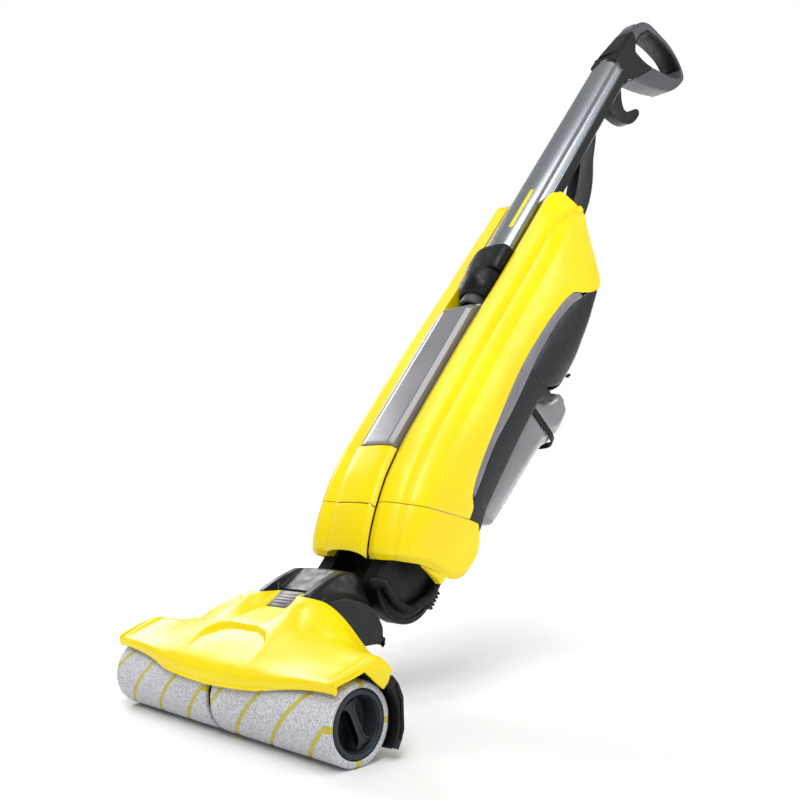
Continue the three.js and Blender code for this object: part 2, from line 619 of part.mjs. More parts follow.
/** Inlet for the mains lead at the foot of the rear channel. */
const cordGland = () => join(rodZ(7, 30, 24, 446.6, 452, 20), rodZ(4.5, 30, 24, 450, 466, 16));

add(body, 'upper_cable_hook', cableHook(), BLACK);
add(body, 'carry_handle', carryHandle(), CHARCOAL);
add(body, 'cord_gland', cordGland(), BLACK);

/** Dirty-water hose along the side of the joint drum, up into the body. */
function suctionHose() {
  const route = new THREE.CatmullRomCurve3([[48.8, -26, -31], [49.2, -14, -34], [49.2, 4, -30],
    [49.2, 18, -14],
    [49.2, 24, 4], [49, 20, 24], [48, 12, 50]].map(p => new THREE.Vector3(...p)));
  const circle = new THREE.Path().absarc(0, 0, 4.5, 0, 2 * Math.PI, false);
  const ring = new THREE.Shape(circle.getPoints(10).slice(1));
  return new THREE.ExtrudeGeometry(ring, { steps: 24, extrudePath: route });
}
add(body, 'suction_hose', suctionHose(), RUBBER);

function freshTankCap() {
  return join(rodZ(11, 0, 77, 286.6, 298, 24), rodZ(8, 0, 77, 280, 288, 20));
}
add(body, 'fresh_tank_cap', freshTankCap(), GREY);

machine.updateMatrixWorld(true);
export default machine;
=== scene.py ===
"""Wet dry floor scrubber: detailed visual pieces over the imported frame, with its camera, light and floor."""
import logging
import math
import random
from dataclasses import dataclass, field
from enum import Enum
from typing import Callable, Optional, Sequence

import bmesh
import bpy
from mathutils import Matrix, Vector, noise


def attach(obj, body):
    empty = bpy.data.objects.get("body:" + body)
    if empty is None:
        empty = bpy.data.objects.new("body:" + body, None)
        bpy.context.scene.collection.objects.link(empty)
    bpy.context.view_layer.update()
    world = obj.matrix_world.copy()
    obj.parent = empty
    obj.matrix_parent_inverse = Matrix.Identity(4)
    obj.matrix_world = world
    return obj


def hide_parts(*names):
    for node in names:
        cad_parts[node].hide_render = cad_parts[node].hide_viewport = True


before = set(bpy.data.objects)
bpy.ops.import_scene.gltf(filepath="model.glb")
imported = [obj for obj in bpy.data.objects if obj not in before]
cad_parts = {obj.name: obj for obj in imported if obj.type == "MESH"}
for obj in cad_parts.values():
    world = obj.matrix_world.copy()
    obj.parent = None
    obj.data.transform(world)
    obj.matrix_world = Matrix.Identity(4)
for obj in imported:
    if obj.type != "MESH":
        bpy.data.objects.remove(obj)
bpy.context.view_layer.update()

log = logging.getLogger("scrubber")
Point2 = tuple[float, float]
Outline = Sequence[Point2]
Curve = Callable[[float], float]
Path = Callable[[float], Point2]
Surface = Callable[[float, float], Sequence[float]]
Mesh = bmesh.types.BMesh

# Local frames: millimetres, x along the rollers, y to the rear, z up (HEAD) or up the leaning body (BODY).
MM = 0.001
TILT = math.radians(38.6)   # lean of the body behind the upright
PIVOT = (172.0, 128.0)      # y and z of the tilt hinge in HEAD
ORIGIN_Y = -403.715         # y of the roller axle in the frame
AXLE_Z = 30.65
MERGE_MM = 1e-4             # vertices nearer than this become one
HEAD = Matrix.Translation((0, ORIGIN_Y * MM, 0)) @ Matrix.Scale(MM, 4)
BODY = (Matrix.Translation((0, (PIVOT[0] + ORIGIN_Y) * MM, PIVOT[1] * MM))
        @ Matrix.Rotation(-TILT, 4, "X") @ Matrix.Scale(MM, 4))


# Curves and profiles
def lerp(a: float, b: float, t: float) -> float:
    """Value a fraction t of the way from a to b."""
    return a + (b - a) * t


def smoothstep(a: float, b: float, x: float) -> float:
    """0 before a, 1 after b, and a smooth ramp between them."""
    t = min(1.0, max(0.0, (x - a) / (b - a)))
    return t * t * (3 - 2 * t)


def profile(*knots: Point2) -> Curve:
    """Smooth curve through knots that never overshoots them.

    Args:
        knots: (position, value) pairs in rising order of position.

    Returns:
        A function from position to value, constant outside the knots.
    """
    xs, ys = zip(*knots)
    last = len(xs) - 1
    slope = [(ys[i + 1] - ys[i]) / (xs[i + 1] - xs[i]) for i in range(last)]
    inner = [0 if a * b <= 0 else 2 * a * b / (a + b) for a, b in zip(slope, slope[1:])]
    tangent = [slope[0], *inner, slope[-1]]

    def value(x: float) -> float:
        """Value at a position."""
        x = min(max(x, xs[0]), xs[last])
        i = max(k for k in range(last) if xs[k] <= x)
        h = xs[i + 1] - xs[i]
        t = (x - xs[i]) / h
        rest = 1 - t
        return (ys[i] * (1 + 2 * t) * rest * rest + tangent[i] * h * t * rest * rest
                + ys[i + 1] * t * t * (3 - 2 * t) - tangent[i + 1] * h * t * t * rest)

    return value


def path2(points: Outline) -> Path:
    """Smooth curve through 2-D points, as a function of 0..1 with an equal share for each span.

    Args:
        points: (a, b) pairs in order.

    Returns:
        A function from a share to a point.
    """
    steps = range(len(points))
    a = profile(*[(i, p[0]) for i, p in zip(steps, points)])
    b = profile(*[(i, p[1]) for i, p in zip(steps, points)])
    return lambda t: (a(t * (len(points) - 1)), b(t * (len(points) - 1)))


def flowing(points: Outline, steps: int = 6) -> list[Point2]:
    """Closed Catmull-Rom outline through the points.

    Args:
        points: corners that the outline passes through.
        steps: points made for each span.

    Returns:
        The outline as (a, b) pairs.
    """
    n = len(points)
    out = []
    for i in range(n):
        p = [Vector(points[(i + k) % n]) for k in (-1, 0, 1, 2)]
        for s in range(steps):
            t = s / steps
            q = 0.5 * (2 * p[1] + (p[2] - p[0]) * t + (2 * p[0] - 5 * p[1] + 4 * p[2] - p[3]) * t * t
                       + (3 * p[1] - p[0] - 3 * p[2] + p[3]) * t ** 3)
            out.append((q.x, q.y))
    return out


def along_corners(corners: Outline, share: float) -> Point2:
    """Point at a share of the way along straight runs that have an equal share each.

    Args:
        corners: ends of the runs, in order.
        share: 0 at the first corner, 1 at the last.

    Returns:
        The point.
    """
    step = share * (len(corners) - 1)
    i = min(len(corners) - 2, int(step))
    (x0, y0), (x1, y1) = corners[i], corners[i + 1]
    return lerp(x0, x1, step - i), lerp(y0, y1, step - i)


def superellipse(angle: float, a: float, b: float, power: float = 2.0) -> Point2:
    """Point of a rounded-rectangle section: power 2 is an ellipse, higher is squarer.

    Args:
        angle: direction in radians.
        a: half width.
        b: half depth.
        power: squareness.

    Returns:
        The point, from the centre.
    """
    c, s = math.cos(angle), math.sin(angle)
    return (a * math.copysign(abs(c) ** (2 / power), c), b * math.copysign(abs(s) ** (2 / power), s))


# Mesh builders
def sheet(columns: int, rows: int, place: Surface) -> Mesh:
    """A grid whose vertices are moved to place(u, v), with u and v from 0 to 1.

    Args:
        columns: faces along u.
        rows: faces along v.
        place: position for each (u, v).

    Returns:
        The grid.
    """
    bm = bmesh.new()
    bmesh.ops.create_grid(bm, x_segments=columns, y_segments=rows, size=0.5)
    for vert in bm.verts:
        vert.co = Vector(place(vert.co.x + 0.5, vert.co.y + 0.5))
    return bm


def closed(bm: Mesh) -> Mesh:
    """Joins a grid's meeting edges, fills its open ends and turns its faces outward.

    Args:
        bm: a grid that meets itself.

    Returns:
        The same mesh.
    """
    bmesh.ops.remove_doubles(bm, verts=bm.verts, dist=MERGE_MM)
    bmesh.ops.holes_fill(bm, edges=bm.edges, sides=0)
    bmesh.ops.recalc_face_normals(bm, faces=bm.faces)
    return bm


def facing(bm: Mesh, away_from: Sequence[float]) -> Mesh:
    """Turns an open sheet's faces away from a point inside the machine.

    Args:
        bm: the sheet.
        away_from: a point on its inner side.

    Returns:
        The same mesh.
    """
    core = Vector(away_from)
    bm.normal_update()
    lean = sum(f.normal.dot(f.calc_center_median() - core) * f.calc_area() for f in bm.faces)
    if lean < 0:
        bmesh.ops.reverse_faces(bm, faces=bm.faces)
    return bm


def prism(outline: Outline, x0: float, x1: float) -> Mesh:
    """A (y, z) outline pushed along x from x0 to x1.

    Args:
        outline: corners (y, z).
        x0: first end.
        x1: other end.

    Returns:
        The solid.
    """
    bm = bmesh.new()
    face = bm.faces.new([bm.verts.new((x0, y, z)) for y, z in outline])
    pushed = bmesh.ops.extrude_face_region(bm, geom=[face])
    moved = [g for g in pushed["geom"] if isinstance(g, bmesh.types.BMVert)]
    bmesh.ops.translate(bm, verts=moved, vec=(x1 - x0, 0, 0))
    bmesh.ops.recalc_face_normals(bm, faces=bm.faces)
    return bm


def turned(points: Outline, centre: Sequence[float], axis: str = "X",
           steps: int = 64) -> Mesh:
    """A profile of (radius, distance) spun right round a local axis through centre.

    Args:
        points: the profile.
        centre: a point on the axis.
        axis: "X" or "Z".
        steps: sides of the full turn.

    Returns:
        The turned solid.
    """
    bm = bmesh.new()
    along = Vector((1, 0, 0)) if axis == "X" else Vector((0, 0, 1))
    out = Vector((0, 0, 1)) if axis == "X" else Vector((1, 0, 0))
    middle = Vector(centre)
    verts = [bm.verts.new(middle + out * r + along * d) for r, d in points]
    for a, b in zip(verts, verts[1:]):
        bm.edges.new((a, b))
    bmesh.ops.spin(bm, geom=bm.verts[:] + bm.edges[:], cent=middle, axis=along, angle=2 * math.pi,
                   steps=steps, use_merge=True)
    bmesh.ops.remove_doubles(bm, verts=bm.verts, dist=MERGE_MM)
    bmesh.ops.recalc_face_normals(bm, faces=bm.faces)
    return bm


def swept(route: Sequence[Sequence[float]], radius: Curve, around: int = 20,
          along: int = 120) -> Mesh:
    """A round tube whose centre follows the route and whose radius changes with the share of its length.

    Args:
        route: centre points.
        radius: radius by share of the length.
        around: sides.
        along: rings.

    Returns:
        The closed tube.
    """
    steps = range(len(route))
    axes = [profile(*[(i, p[k]) for i, p in zip(steps, route)]) for k in range(3)]
    up = Vector((1, 0, 0))
    near = 0.004        # share of the route that gives the direction at a point

    def at(t: float) -> Vector:
        """Centre of the tube at a share of its length."""
        return Vector([axis(t * (len(route) - 1)) for axis in axes])

    def place(u: float, v: float) -> Vector:
        """Position at the shares u and v."""
        way = (at(min(1, v + near)) - at(max(0, v - near))).normalized()
        side = way.cross(up).normalized()
        angle = 2 * math.pi * u
        return at(v) + (side * math.cos(angle) + side.cross(way) * math.sin(angle)) * radius(v)

    return closed(sheet(around, along, place))


def mirrored(bm: Mesh) -> Mesh:
    """The same mesh on the other side of x = 0.

    Args:
        bm: mesh of one side, which is kept.

    Returns:
        A new mesh.
    """
    other = bm.copy()
    bmesh.ops.scale(other, verts=other.verts, vec=(-1, 1, 1))
    bmesh.ops.reverse_faces(other, faces=other.faces)
    return other


# Finishes
def linear(hex_colour: str) -> tuple[float, float, float, float]:
    """Linear RGBA of an sRGB colour written as six hex digits.

    Args:
        hex_colour: colour such as "F8E200".

    Returns:
        Four linear components.
    """
    parts = [int(hex_colour[i:i + 2], 16) / 255 for i in (0, 2, 4)]
    r, g, b = [c / 12.92 if c <= 0.04045 else ((c + 0.055) / 1.055) ** 2.4 for c in parts]
    return r, g, b, 1.0


@dataclass(frozen=True)
class Finish:
    """Look of a moulded or metal surface.

    Lengths are real millimetres. Mottling varies the colour, grain is the fine relief of the tool or fibre.
    """

    base: str
    shade: str
    roughness: float
    spread: float = 0.05
    mottle_mm: float = 60.0
    grain_mm: float = 0.8
    relief_mm: float = 0.01
    metallic: float = 0.0
    coat: float = 0.0
    transmission: float = 0.0
    specular: float = 0.5


class Slot(Enum):
    """Material slots of the record with the finish of each."""

    HOOD = "hood_yellow"
    SHELL = "shell_yellow"
    SLEEVE = "sleeve_fabric"
    CAP = "cap_plastic"
    COVER = "cover_charcoal"
    BLACK = "black_plastic"
    GREY = "grey_plastic"
    DARK = "dark_grey_plastic"
    CLEAR = "clear_tank"
    TUBE = "tube_aluminium"
    STEEL = "steel"
    RUBBER = "rubber"
    CIRCUIT = "circuit"


FINISHES = {
    # Moulded ABS with the colour in the resin: bright, smooth, with one soft highlight along each crown.
    Slot.HOOD: Finish("F8E200", "F2D800", 0.36, 0.06, 80, 1.6, 0.006, coat=0.03, specular=0.35),
    Slot.SHELL: Finish("F8E200", "F1D600", 0.34, 0.06, 90, 1.6, 0.006, coat=0.04, specular=0.35),
    # Glass-filled nylon caps: blue-black and slightly dusty in the recess.
    Slot.CAP: Finish("28323A", "202930", 0.46, 0.1, 20, 0.5, 0.02, specular=0.35),
    # Fine-textured ABS casing: charcoal with a broad, dim sheen.
    Slot.COVER: Finish("12171A", "0F1316", 0.42, 0.1, 40, 0.5, 0.02, specular=0.35),
    # Black polypropylene: near black, with only a faint waxy light on the edges.
    Slot.BLACK: Finish("0C0D0F", "111215", 0.42, 0.12, 40, 0.5, 0.02, specular=0.25),
    # Mid and dark grey ABS trim: matt, so that its edges show more than its faces.
    Slot.GREY: Finish("78767F", "6F6D76", 0.42, 0.08, 30, 0.5, 0.02),
    Slot.DARK: Finish("4E4E53", "47474C", 0.5, 0.08, 30, 0.5, 0.025, specular=0.35),
    # Smoked SAN tank wall: milky grey, glossy, and a little light comes through.
    Slot.CLEAR: Finish("A9A7AB", "A09EA2", 0.16, 0.04, 60, 4.0, 0.004, transmission=0.35, coat=0.5),
    # Drawn and anodised aluminium: long soft streaks of light along the tube.
    Slot.TUBE: Finish("C0C5CB", "B6BCC3", 0.3, 0.02, 200, 0.3, 0.0004, metallic=1.0),
    # Zinc-plated steel of shafts and screws: small bright glints.
    Slot.STEEL: Finish("A6ABB1", "92979D", 0.3, 0.1, 15, 0.2, 0.005, metallic=1.0),
    # Moulded EPDM rubber: black and matt, with slight blotches.
    Slot.RUBBER: Finish("101112", "16171A", 0.55, 0.12, 12, 0.4, 0.03, specular=0.3),
    # Solder-masked glass-epoxy board: green with small darker patches.
    Slot.CIRCUIT: Finish("1F5A38", "17482C", 0.4, 0.1, 3, 0.8, 0.05),
}


DRAWN_GRAIN_MM = 0.35       # a metal with a finer grain than this is drawn, and its grain runs with the body


class Shader:
    """One procedural material under construction."""

    def __init__(self, name: str) -> None:
        """Starts a material with its surface shader."""
        self.material = bpy.data.materials.new(name)
        self.material.use_nodes = True
        self.tree = self.material.node_tree
        self.surface = self.tree.nodes["Principled BSDF"]

    def add(self, kind: str, links: Optional[dict] = None, **settings):
        """Adds a node, sets its attributes or inputs by name, and links its inputs.

        Args:
            kind: Blender node type without the ShaderNode prefix.
            links: input name or number to an output socket or a plain value.
            settings: node attributes.

        Returns:
            The new node.
        """
        node = self.tree.nodes.new("ShaderNode" + kind)
        for key, value in settings.items():
            setattr(node, key, value)
        for key, value in (links or {}).items():
            if isinstance(value, bpy.types.NodeSocket):
                self.tree.links.new(value, node.inputs[key])
            else:
                node.inputs[key].default_value = value
        return node

    def math(self, operation: str, *values):
        """Output of a math node on sockets or numbers."""
        return self.add("Math", dict(enumerate(values)), operation=operation).outputs[0]

    def mix(self, factor, a, b):
        """Colour between a and b."""
        node = self.add("Mix", {0: factor, 6: a, 7: b}, data_type="RGBA")
        return node.outputs[2]

    def speckle(self, coords, size_mm: float, detail: float = 2.0):
        """Noise between 0 and 1 with features of about that size.

        Args:
            coords: vector socket in metres.
            size_mm: feature size.
            detail: octaves.

        Returns:
            The noise socket.
        """
        links = {"Vector": coords, "Scale": 1 / (size_mm * MM), "Detail": detail}
        return self.add("TexNoise", links).outputs["Fac"]

    def set(self, **values) -> None:
        """Plain values or links on the surface shader, with underscores for spaces in the input names."""
        for key, value in values.items():
            socket = self.surface.inputs[key.replace("_", " ")]
            if isinstance(value, bpy.types.NodeSocket):
                self.tree.links.new(value, socket)
            else:
                socket.default_value = value

    def remap(self, value, low: float, high: float, from_low: float = 0.3, from_high: float = 0.7):
        """Value moved from one range to another and held inside it.

        Args:
            value: socket.
            low: lowest result.
            high: highest result.
            from_low: start of the input range.
            from_high: its end.

        Returns:
            The result socket.
        """
        links = {"Value": value, "From Min": from_low, "From Max": from_high, "To Min": low, "To Max": high}
        return self.add("MapRange", links).outputs["Result"]


def moulded(name: str, finish: Finish) -> bpy.types.Material:
    """Plastic, rubber or metal with colour mottling, uneven gloss and a fine grain.

    Args:
        name: material name.
        finish: its look.

    Returns:
        The material.
    """
    shader = Shader(name)
    coords = shader.add("TexCoord").outputs["Object"]
    if finish.metallic and finish.grain_mm < DRAWN_GRAIN_MM:
        turn = shader.add("Mapping", {"Vector": coords, "Rotation": (TILT, 0, 0), "Scale": (1, 1, 0.02)})
        grain_coords = turn.outputs["Vector"]
    else:
        grain_coords = coords
    mottle = shader.speckle(coords, finish.mottle_mm)
    grain = shader.speckle(grain_coords, finish.grain_mm, 3)
    smear = shader.speckle(grain_coords, finish.grain_mm * 14, 3)
    base = shader.mix(shader.remap(mottle, 0, 1), linear(finish.base), linear(finish.shade))
    bump = shader.add("Bump", {"Strength": 0.5, "Distance": finish.relief_mm * MM, "Height": grain})
    low = max(0.03, finish.roughness - finish.spread)
    shader.set(Base_Color=base, Roughness=shader.remap(smear, low, finish.roughness + finish.spread),
               Normal=bump.outputs["Normal"], Metallic=finish.metallic, Coat_Weight=finish.coat,
               Coat_Roughness=0.08, Transmission_Weight=finish.transmission,
               Specular_IOR_Level=finish.specular)
    return shader.material


STRIPE_PITCH_MM = 45.0      # distance between neighbouring stripes along the roller
STRIPE_WIDTH_MM = 5.0
STRIPE_LEAN = 0.5           # millimetres along the roller for each degree round it
STRIPE_BASE = 20.5          # whole pitches that keep the count positive, and half of one
STRIPE_STOP_MM = 140.8      # past this the stripe runs straight to the sleeve's end


def plush(name: str, start_mm: float, offset_mm: float) -> bpy.types.Material:
    """Microfibre pile with dark flecks and slanted coloured stripes.

    Cut pile of a light grey polyester gives the eye a soft, speckled surface with no highlight. The fleck and
    fibre sizes are a few times the real ones, because the real ones are too fine to show.

    Args:
        name: material name.
        start_mm: x of the sleeve's left end.
        offset_mm: where the first stripe crosses the front line, from that end.
    """
    shader = Shader(name)
    coords = shader.add("TexCoord").outputs["Object"]
    axes = shader.add("SeparateXYZ", {"Vector": coords}).outputs
    wobble = shader.math("MULTIPLY", shader.speckle(coords, 3.0), 0.0016)
    along = shader.math("MINIMUM", shader.math("SUBTRACT", axes["X"], start_mm * MM), STRIPE_STOP_MM * MM)
    front = shader.math("SUBTRACT", ORIGIN_Y * MM, axes["Y"])
    rise = shader.math("SUBTRACT", axes["Z"], AXLE_Z * MM)
    turn = shader.math("MULTIPLY", shader.math("ARCTAN2", front, rise), math.degrees(STRIPE_LEAN) * MM)
    place = shader.math("ADD", shader.math("ADD", along, turn), wobble)
    first = offset_mm * MM + 0.0008     # half the wobble brings the stripe back onto its line
    count = shader.math("DIVIDE", shader.math("SUBTRACT", place, first), STRIPE_PITCH_MM * MM)
    turns = shader.math("FRACT", shader.math("ADD", count, STRIPE_BASE))
    spacing = shader.math("ABSOLUTE", shader.math("SUBTRACT", turns, 0.5))
    edge = STRIPE_WIDTH_MM / STRIPE_PITCH_MM / 2
    stripe = shader.remap(spacing, 1.0, 0.0, edge * 0.9, edge * 1.15)
    fleck = shader.speckle(coords, 1.5, 4)
    fibre = shader.speckle(coords, 0.5, 4)
    pile = shader.mix(shader.remap(fleck, 0, 1, 0.36, 0.56), linear("A5A5AD"), linear("D8D8DD"))
    pile = shader.mix(shader.remap(fibre, 0, 0.5, 0.42, 0.3), pile, linear("77777F"))
    band = shader.mix(shader.remap(fleck, 0, 1), linear("ADA51C"), linear("D2C92A"))
    relief = shader.math("ADD", fleck, shader.math("MULTIPLY", fibre, 0.6))
    bump = shader.add("Bump", {"Strength": 1.0, "Distance": 0.0009, "Height": relief})
    shader.set(Base_Color=shader.mix(stripe, pile, band), Roughness=0.95, Normal=bump.outputs["Normal"],
               Sheen_Weight=0.35, Sheen_Roughness=0.6, Specular_IOR_Level=0.2)
    return shader.material


class Palette:
    """Makes each slot's material once."""

    def __init__(self) -> None:
        """Starts with nothing made."""
        self.made: dict[str, bpy.types.Material] = {}

    def get(self, slot: Slot) -> bpy.types.Material:
        """The material of a record slot."""
        return self.special(slot.value, FINISHES[slot])

    def special(self, name: str, finish: Finish) -> bpy.types.Material:
        """A material outside the record's slots."""
        if name not in self.made:
            self.made[name] = moulded(name, finish)
        return self.made[name]


PALETTE = Palette()


# Sub-assemblies
def in_scene(name: str, data: bpy.types.ID) -> bpy.types.Object:
    """A new object of that mesh, light or camera, linked to the scene.

    Args:
        name: the object's name.
        data: what it shows.

    Returns:
        The object.
    """
    obj = bpy.data.objects.new(name, data)
    bpy.context.scene.collection.objects.link(obj)
    return obj


@dataclass
class Assembly:
    """A group of pieces in one local frame that ride on one body. Sizes are in local millimetres."""

    body: str = "main_body"
    place: Matrix = field(default_factory=lambda: BODY)

    def piece(self, name: str, bm: Mesh, slot: Slot, replaces: Sequence[str] = (),
              wall: float = 0, bevel: float = 0, segments: int = 2, subdivide: int = 0,
              material: Optional[bpy.types.Material] = None, angle: float = 35,
              body: Optional[str] = None) -> bpy.types.Object:
        """Turns a local mesh into a finished piece on this assembly's body.

        Args:
            name: the object's name.
            bm: mesh in local millimetres; it is used up.
            slot: record slot of its finish.
            replaces: CAD nodes it stands for.
            wall: thickness added behind an open sheet, in millimetres.
            bevel: edge rounding in millimetres.
            segments: bevel segments.
            subdivide: subdivision levels.
            material: used instead of the slot's own material.
            angle: edges sharper than this are bevelled, in degrees.
            body: rides on this body instead of the assembly's.

        Returns:
            The finished object.
        """
        bm.transform(self.place)
        for face in bm.faces:
            face.smooth = True
        mesh = bpy.data.meshes.new(name)
        bm.to_mesh(mesh)
        bm.free()
        obj = in_scene(name, mesh)
        mesh.materials.append(material or PALETTE.get(slot))
        if wall:
            solid = obj.modifiers.new("wall", "SOLIDIFY")
            solid.thickness, solid.offset = wall * MM, -1
        if bevel:
            edge = obj.modifiers.new("edges", "BEVEL")
            edge.width, edge.segments, edge.profile = bevel * MM, segments, 0.5
            edge.limit_method, edge.angle_limit = "ANGLE", math.radians(angle)
            edge.harden_normals = False
        if subdivide:
            smooth = obj.modifiers.new("smooth", "SUBSURF")
            smooth.levels = smooth.render_levels = subdivide
        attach(obj, body or self.body)
        if replaces:
            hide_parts(*replaces)
        return obj

    def pair(self, name: str, bm: Mesh, slot: Slot, node: str = "", **options) -> None:
        """The same piece on the right and, mirrored, on the left.

        Args:
            name: name before the side.
            bm: mesh of the right side.
            slot: record slot.
            node: CAD node before the side, if it replaces one.
            options: passed on to piece.
        """
        left = mirrored(bm)
        for side, mesh in (("right", bm), ("left", left)):
            nodes = [f"{node}_{side}"] if node else []
            self.piece(f"{name}_{side}", mesh, slot, nodes, **options)


@dataclass
class Rollers(Assembly):
    """Two plush sleeves with their end caps and pull bars."""

    body: str = "roller_drive"
    place: Matrix = field(default_factory=lambda: HEAD)
    start: float = 3.2
    end: float = 150.0
    radius: float = 30.65
    bore: float = 25.3
    bar_turn: float = math.pi / 7
    bar_reach: float = 18.6
    bar_web: float = 2.6
    bar_foot: float = 7.2

    def build(self) -> None:
        """Makes both rollers."""
        for side, start, offset in (("right", self.start, 4.8), ("left", -self.end, -1.0)):
            body = f"roller_{side}"
            self.piece(f"sleeve_{side}", self.sleeve(start, offset, side == "left"), Slot.SLEEVE,
                       [f"roller_sleeve_{side}"], material=plush(f"sleeve_{side}_pile", start, offset),
                       body=body)
            cap, bar = self.cap(), self.bar()
            if side == "left":
                cap, bar = mirrored(cap), mirrored(bar)
            self.piece(f"end_cap_{side}", cap, Slot.CAP, [f"roller_end_cap_{side}"], bevel=0.5, body=body)
            self.piece(f"pull_bar_{side}", bar, Slot.CAP, [f"roller_pull_bar_{side}"], bevel=0.7, body=body)

    def sleeve(self, start: float, offset: float, flip: bool) -> Mesh:
        """Pile surface from the bore round the outside and back into the bore.

        Args:
            start: x of the sleeve's left end.
            offset: where the first stripe crosses the front line.
            flip: whether its near end is on the right.

        Returns:
            The pile surface.
        """
        length = self.end - self.start
        r = self.radius
        near = [(self.bore, 1.2), (27.2, 0.1), (29.2, 0.3), (r - 0.2, 2.2)]
        far = [(r - 0.1, length - 3.0), (29.4, length - 0.9), (27.6, length - 0.1), (self.bore, length - 1.4)]
        body = [(r, 4 + (length - 8) * i / 120) for i in range(121)]
        outline = near + body + far
        edge = STRIPE_WIDTH_MM / STRIPE_PITCH_MM / 2
        rng = random.Random(7)
        last = len(outline) - 1

        def place(u: float, v: float) -> Vector:
            """Position at the shares u and v."""
            radius, along = outline[round(v * last)]
            if flip:
                along = length - along
            angle = 2 * math.pi * u
            lean = math.degrees(angle if angle <= math.pi else angle - 2 * math.pi) * STRIPE_LEAN
            count = (min(along, STRIPE_STOP_MM) + lean - offset) / STRIPE_PITCH_MM
            off = abs((count + STRIPE_BASE) % 1 - 0.5)
            soft = noise.noise(Vector((along * 0.5, math.sin(angle) * 14, math.cos(angle) * 14)))
            fuzz = 0.22 * soft + rng.uniform(-0.16, 0.12) - 0.35 * smoothstep(edge * 1.3, edge * 0.8, off)
            radius += fuzz if 0 < v < 1 else 0
            return Vector((start + along, -radius * math.sin(angle), AXLE_Z + radius * math.cos(angle)))

        bm = sheet(150, last, place)
        bmesh.ops.remove_doubles(bm, verts=bm.verts, dist=0.002)
        for vert in bm.verts:
            vert.co.z = max(vert.co.z, 0.02)
        bmesh.ops.recalc_face_normals(bm, faces=bm.faces)
        return bm

    def cap(self) -> Mesh:
        """Ring with a deep recess."""
        outline = [(24.9, 128), (24.9, 147.6), (24.2, 148.9), (23.2, 149.35), (21.2, 149.35), (20.6, 148.8),
                   (20.4, 147.2), (19.9, 146.6), (19.7, 134), (18.2, 132), (7, 131.6), (5.6, 133.4),
                   (0.01, 133.4)]
        return turned(outline, (0, 0, AXLE_Z), steps=96)

    def bar(self) -> Mesh:
        """I-shaped bar across the recess, with a sunk web."""
        reach, web, foot = self.bar_reach, self.bar_web, self.bar_foot
        half = [(foot, reach - 1.2), (foot - 0.6, reach - 2.6), (web + 1.4, reach - 5.2), (web, reach - 9)]
        side = half + [(w, -p) for w, p in reversed(half)]
        outline = side + [(-w, -p) for w, p in side]
        c, s = math.cos(self.bar_turn), math.sin(self.bar_turn)
        turned_outline = [(q * c - p * s, AXLE_Z + q * s + p * c) for q, p in outline]
        bm = prism(turned_outline, 131.5, 146.2)
        face = max(bm.faces, key=lambda f: f.calc_center_median().x)
        bmesh.ops.inset_region(bm, faces=[face], thickness=0.9, depth=0)
        bmesh.ops.inset_region(bm, faces=[face], thickness=0.5, depth=-1.1)
        return bm


